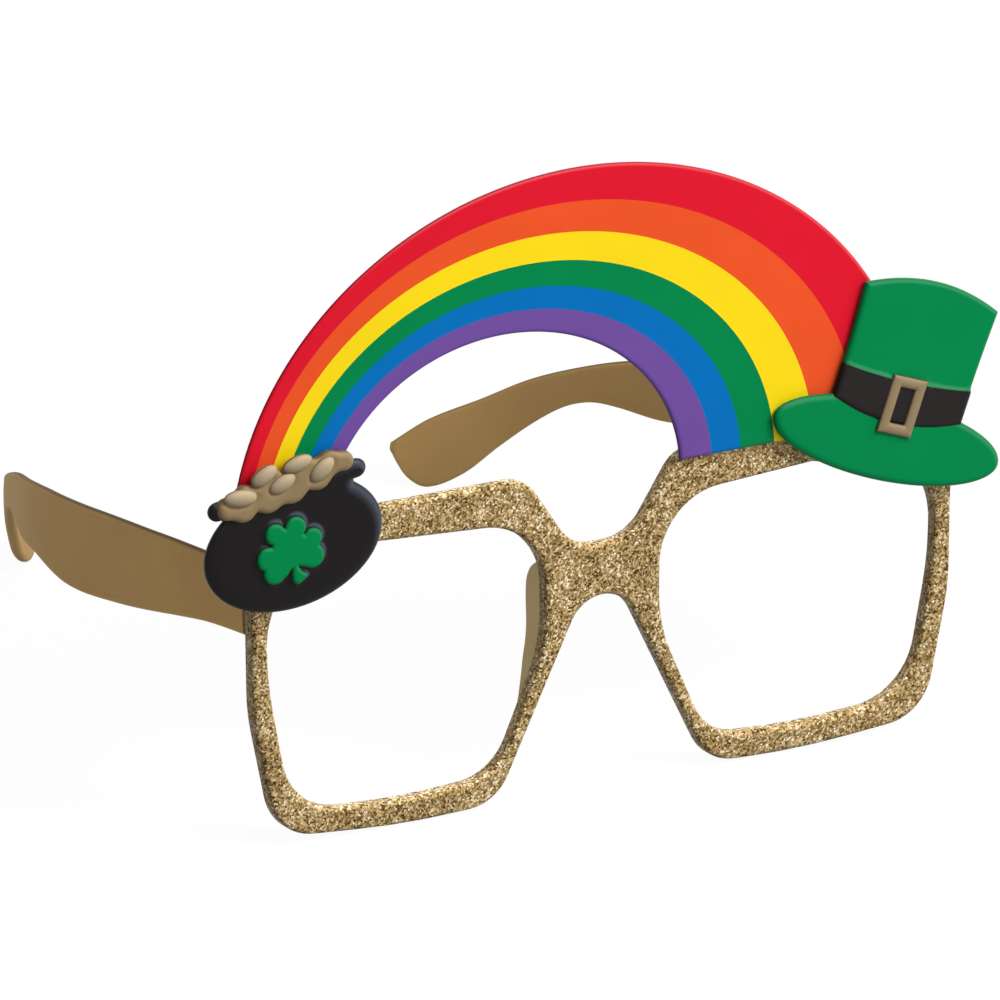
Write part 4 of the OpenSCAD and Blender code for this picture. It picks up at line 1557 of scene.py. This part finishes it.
@dataclass
class Temple:
    """A temple: outwards behind the rims, straight back, then inwards and down round the ear."""

    x: float = 71.4
    y: float = 2.7
    top: float = 53.5
    height: float = 13.8
    thickness: float = 2.4
    length: float = 147.0
    toe_out: float = 6.0
    bend_in: float = 20.0
    ear_turn: float = 26.0
    right_rise: float = 3.2
    rise_from: float = 16.0
    rise_to: float = 64.0
    end_gap: float = 0.4
    crown: float = 0.22
    edge: float = 0.85
    round_end: float = 11.0
    # How far the upper and the lower edge lie from the plain bar, at distances along it
    top_knots: tuple[tuple[float, float], ...] = (
        *((-3, -0.7), (20, -1.5), (30, -2.3), (50, -4.4), (70, -7.1), (80, -9), (90, -11.3)),
        *((100, -13.7), (110, -17), (120, -21), (130, -26.3), (140, -31.3), (length, -36.3)),
    )
    low_knots: tuple[tuple[float, float], ...] = (
        *((-3, 0.5), (10, -0.3), (20, -1.8), (40, -5.5), (60, -8.1), (78, -7.9), (90, -9), (100, -8.6)),
        *((106, -8.9), (112, -10.9), (118.5, -15), (126, -21), (133, -27.1), (140, -30.4)),
        *((144, -28.7), (length, -24.1)),
    )

    def heading(self, s: float) -> float:
        """Which way the temple runs, seen from above.

        Args:
            s: The distance along it.

        Returns:
            The heading in radians, positive inwards.
        """
        turn = self.bend_in + 2
        knots = [-3, 16, 32, 50, 88, 106, self.length]
        values = [-self.toe_out, -self.toe_out, 0, 1, self.bend_in, turn, turn + self.ear_turn]
        return math.radians(float(np.interp(s, knots, values)))

    def route(self) -> np.ndarray:
        """The middle line from above, in steps of a millimetre.

        Returns:
            Its points as x and y.
        """
        points = [np.array([self.x, self.y])]
        for s in range(int(self.length) + 2):
            turn = self.heading(s + 0.5)
            points.append(points[-1] + np.array([-math.sin(turn), math.cos(turn)]))
        return np.array(points)

    def edges(self, s: float, rise: float) -> tuple[float, float]:
        """Where the temple's two edges run.

        Args:
            s: The distance along it.
            rise: How much higher its lower edge starts at the hinge.

        Returns:
            The heights of the lower and the upper edge.
        """
        risen = np.clip((s - self.rise_from) / (self.rise_to - self.rise_from), 0, 1)
        share = (1 + math.cos(math.pi * risen)) / 2
        low = self.top - self.height + along(self.low_knots, s) + rise * share
        return low, self.top + along(self.top_knots, s)

    def section(self, s: float, route: np.ndarray, rise: float) -> np.ndarray:
        """A cross-section of the temple: a slightly crowned bar with round edges.

        Args:
            s: The distance along it.
            route: The middle line.
            rise: The rise of its lower edge.

        Returns:
            The section's points in order.
        """
        i = int(np.clip(math.floor(s), 0, len(route) - 2))
        middle = route[i] + (s - i) * (route[i + 1] - route[i])
        turn = self.heading(s)
        across = np.array([math.cos(turn), math.sin(turn)])
        low, high = self.edges(s, rise)
        h = max(0.3, high - low)
        half = min(self.thickness / 2, 0.5 + h / 6)
        r = min(self.edge, half * 0.9, h / 2.2)
        z_mid, h_flat = low + h / 2, h / 2 - r
        arc = np.linspace(0, math.pi / 2, 7)
        profile = [(half - r + r * math.cos(a), -h_flat - r * math.sin(a)) for a in arc[::-1]]
        profile += [(half, h_flat * k) for k in np.linspace(-0.96, 0.96, 9)]
        profile += [(half - r + r * math.cos(a), h_flat + r * math.sin(a)) for a in arc]
        outside = [(x - self.crown * (z / (h / 2)) ** 2 * min(1.0, half), z) for x, z in profile]
        ring = outside + [(-x, z) for x, z in reversed(outside)]
        return np.array([[*(middle + across * x), z_mid + z] for x, z in ring])

    def build(self, side: Side, gold: bpy.types.Material) -> None:
        """Builds the temple of one side.

        Args:
            side: The side.
            gold: Its paint.
        """
        route = self.route()
        start = (self.end_gap - 1.2) / math.cos(math.radians(self.toe_out))
        straight = self.length - self.round_end
        stations = [start, start + 0.3, *np.arange(1.0, straight, 1.0)]
        stations += [straight + self.round_end * math.sin(k * math.pi / 48) for k in range(25)]
        rise = self.right_rise if side is Side.RIGHT else 0.0
        sections = [self.section(s, route, rise) * np.array([side.value, 1, 1]) for s in stations]
        name = f"temple_bar_{side.word}"
        mesh = loft(name, sections, flank=True)
        piece(mesh, name, side.temple_body, "gold_plastic", gold, f"temple_{side.word}")


@dataclass
class Hinges:
    """The hinge halves and their screws, which keep the CAD forms with their edges eased."""

    ease: float = 0.18

    def eased(self, node: str, width: float) -> bpy.types.Mesh:
        """A copy of a CAD node's mesh with its edges rounded by a small bevel.

        Args:
            node: The CAD node.
            width: The bevel's width.

        Returns:
            The mesh in the row's frame.
        """
        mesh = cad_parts[node].data.copy()
        bm = bmesh.new()
        bm.from_mesh(mesh)
        bmesh.ops.remove_doubles(bm, verts=bm.verts, dist=1e-6)
        bmesh.ops.dissolve_limit(bm, angle_limit=math.radians(2), verts=bm.verts, edges=bm.edges)
        edges = [e for e in bm.edges if len(e.link_faces) == 2 and e.calc_face_angle() > math.radians(40)]
        size = {"offset": width * MM, "segments": 2, "profile": 0.5}
        bmesh.ops.bevel(bm, geom=edges, affect="EDGES", clamp_overlap=True, **size)
        bm.to_mesh(mesh)
        bm.free()
        mesh.name = f"{node}_eased"
        mesh.attributes.new("face", "FLOAT", "POINT").data.foreach_set("value", [1.0] * len(mesh.vertices))
        mesh.shade_smooth()
        mesh.set_sharp_from_angle(angle=math.radians(30))
        return mesh

    def build(self, gold: bpy.types.Material) -> None:
        """Builds the hinges of both sides.

        Args:
            gold: The paint of the moulded halves.
        """
        steel = TurnedSteel().make()
        for side in Side:
            parts = [
                ("hinge_bracket", "front", "gold_plastic", gold, self.ease),
                ("temple_knuckle", side.temple_body, "gold_plastic", gold, self.ease),
                ("hinge_screw", "front", "screw_steel", steel, 0.1),
            ]
            for part, body, slot, material, width in parts:
                node = f"{part}_{side.word}"
                piece(self.eased(node, width), f"{node}_moulding", body, slot, material, node)


def seen_plainly(tree: Tree) -> Socket:
    """Tells rays from the camera, a mirror or glass, which see the background as white, from others.

    Args:
        tree: The material's or world's tree.

    Returns:
        1 for such rays and 0 for others.
    """
    rays = add(tree, "ShaderNodeLightPath").outputs
    near = Term(tree, rays["Is Camera Ray"]).run("MAXIMUM", rays["Is Glossy Ray"])
    return near.run("MAXIMUM", rays["Is Transmission Ray"]).socket


@dataclass
class Studio:
    """The camera at the photograph's angle, the pale floor and soft studio light."""

    target: tuple[float, float, float] = (-7.4, 22.8, 48.3)
    right: tuple[float, float, float] = (0.8660, -0.5, 0.0)
    up: tuple[float, float, float] = (0.1616, 0.2799, 0.9463)
    px_per_mm: float = 5.58238
    lens: float = 1200.0
    sensor: float = 36.0
    floor_reach: float = 6.0
    floor_gap: float = 0.0002
    # The strength of the even light on the object; the camera itself sees the world at 1
    sky: float = 0.38
    # How far the floor is lit white for the camera; the rest keeps the object's faint shadow
    floor_white: float = 0.85

    def build(self) -> None:
        """Builds camera, floor and lights."""
        turn = STAND.turn().to_3x3()
        right, up = turn @ Vector(self.right), turn @ Vector(self.up)
        back = right.cross(up).normalized()
        aim = STAND.matrix() @ Vector(self.target)
        data = bpy.data.cameras.new("photo camera")
        data.lens, data.sensor_width = self.lens, self.sensor
        far = PHOTO_SIDE * self.lens / (self.sensor * self.px_per_mm) * MM
        data.clip_start, data.clip_end = 0.1, 100.0
        camera = bpy.data.objects.new("photo camera", data)
        turned = Matrix((right, back.cross(right), back)).transposed()
        camera.matrix_world = Matrix.Translation(aim + back * far) @ turned.to_4x4()
        bpy.context.scene.collection.objects.link(camera)
        bpy.context.scene.camera = camera
        bpy.context.scene.view_settings.view_transform = "Standard"
        self.light(aim, right, up, back)
        self.build_floor()
        self.build_world()

    def light(self, aim: Vector, right: Vector, up: Vector, back: Vector) -> None:
        """Hangs the soft lamps round the object.

        Args:
            aim: What they point at.
            right: The camera's right.
            up: The camera's up.
            back: The way from the object to the camera.
        """
        white, cool = (1.0, 1.0, 1.0), (0.85, 0.93, 1.0)
        lamps = [
            ("key softbox", right * 0.7 + up * 0.52 + back * 0.58, 1.3, 0.75, 12.0, white),
            ("front fill", right * 0.45 + up * 0.25 + back * 0.8, 1.6, 1.2, 4.0, white),
            ("rear fill", right * 0.3 + up * 0.6 - back * 0.9, 1.5, 1.2, 8.0, white),
            ("edge light", right * 0.96 - up * 0.2 + back * 0.03, 1.2, 0.3, 3.5, cool),
        ]
        for name, way, far, size, watts, colour in lamps:
            data = bpy.data.lights.new(name, "AREA")
            data.shape, data.size, data.energy, data.color = "DISK", size, watts, colour
            lamp = bpy.data.objects.new(name, data)
            way = way.normalized()
            lamp.location = aim + way * far
            lamp.rotation_mode = "QUATERNION"
            lamp.rotation_quaternion = (-way).to_track_quat("-Z", "Y")
            bpy.context.scene.collection.objects.link(lamp)

    def build_floor(self) -> None:
        """Lays the pale floor, which the camera sees as white but for the object's shadow."""
        mesh = bpy.data.meshes.new("floor")
        r = self.floor_reach
        mesh.from_pydata([(-r, -r, 0), (r, -r, 0), (r, r, 0), (-r, r, 0)], [], [(0, 1, 2, 3)])
        floor = bpy.data.objects.new("floor", mesh)
        floor.location.z = -self.floor_gap
        bpy.context.scene.collection.objects.link(floor)
        material, tree = new_material("matt white studio floor", "F4F4F4")
        share = Term(tree, seen_plainly(tree)) * self.floor_white
        matt = output(tree, "ShaderNodeBsdfDiffuse", {"Color": linear("BEBEBE")})
        white = output(tree, "ShaderNodeEmission", {"Color": (1, 1, 1, 1), "Strength": 1.1})
        shader = output(tree, "ShaderNodeMixShader", {0: share, 1: matt, 2: white})
        add(tree, "ShaderNodeOutputMaterial", {"Surface": shader})
        mesh.materials.append(material)

    def build_world(self) -> None:
        """Sets the even light round the object, which the camera sees as white."""
        world = bpy.data.worlds.new("white studio")
        bpy.context.scene.world = world
        world.use_nodes = True
        tree = world.node_tree
        tree.nodes.clear()
        strength = output(tree, "ShaderNodeMapRange", {"Value": seen_plainly(tree), "To Min": self.sky})
        sky = output(tree, "ShaderNodeBackground", {"Color": (1, 1, 1, 1), "Strength": strength})
        add(tree, "ShaderNodeOutputWorld", {"Surface": sky})


def main() -> None:
    """Builds the studio and then every piece."""
    logging.basicConfig(level=logging.INFO, format="%(message)s")
    Studio().build()
    FrontFrame().build()
    Rainbow().build()
    PotOfGold().build()
    Hat().build()
    # The paint, its flecks, and the darker tone painted on the temples' edges as shade
    gold = MetallicPaint("matt antique gold paint on ABS", "C09B62", "D4B47E", "584624", 0.6, 0.06).make()
    for side in Side:
        Temple().build(side, gold)
    Hinges().build(gold)


if __name__ == "__main__":
    main()
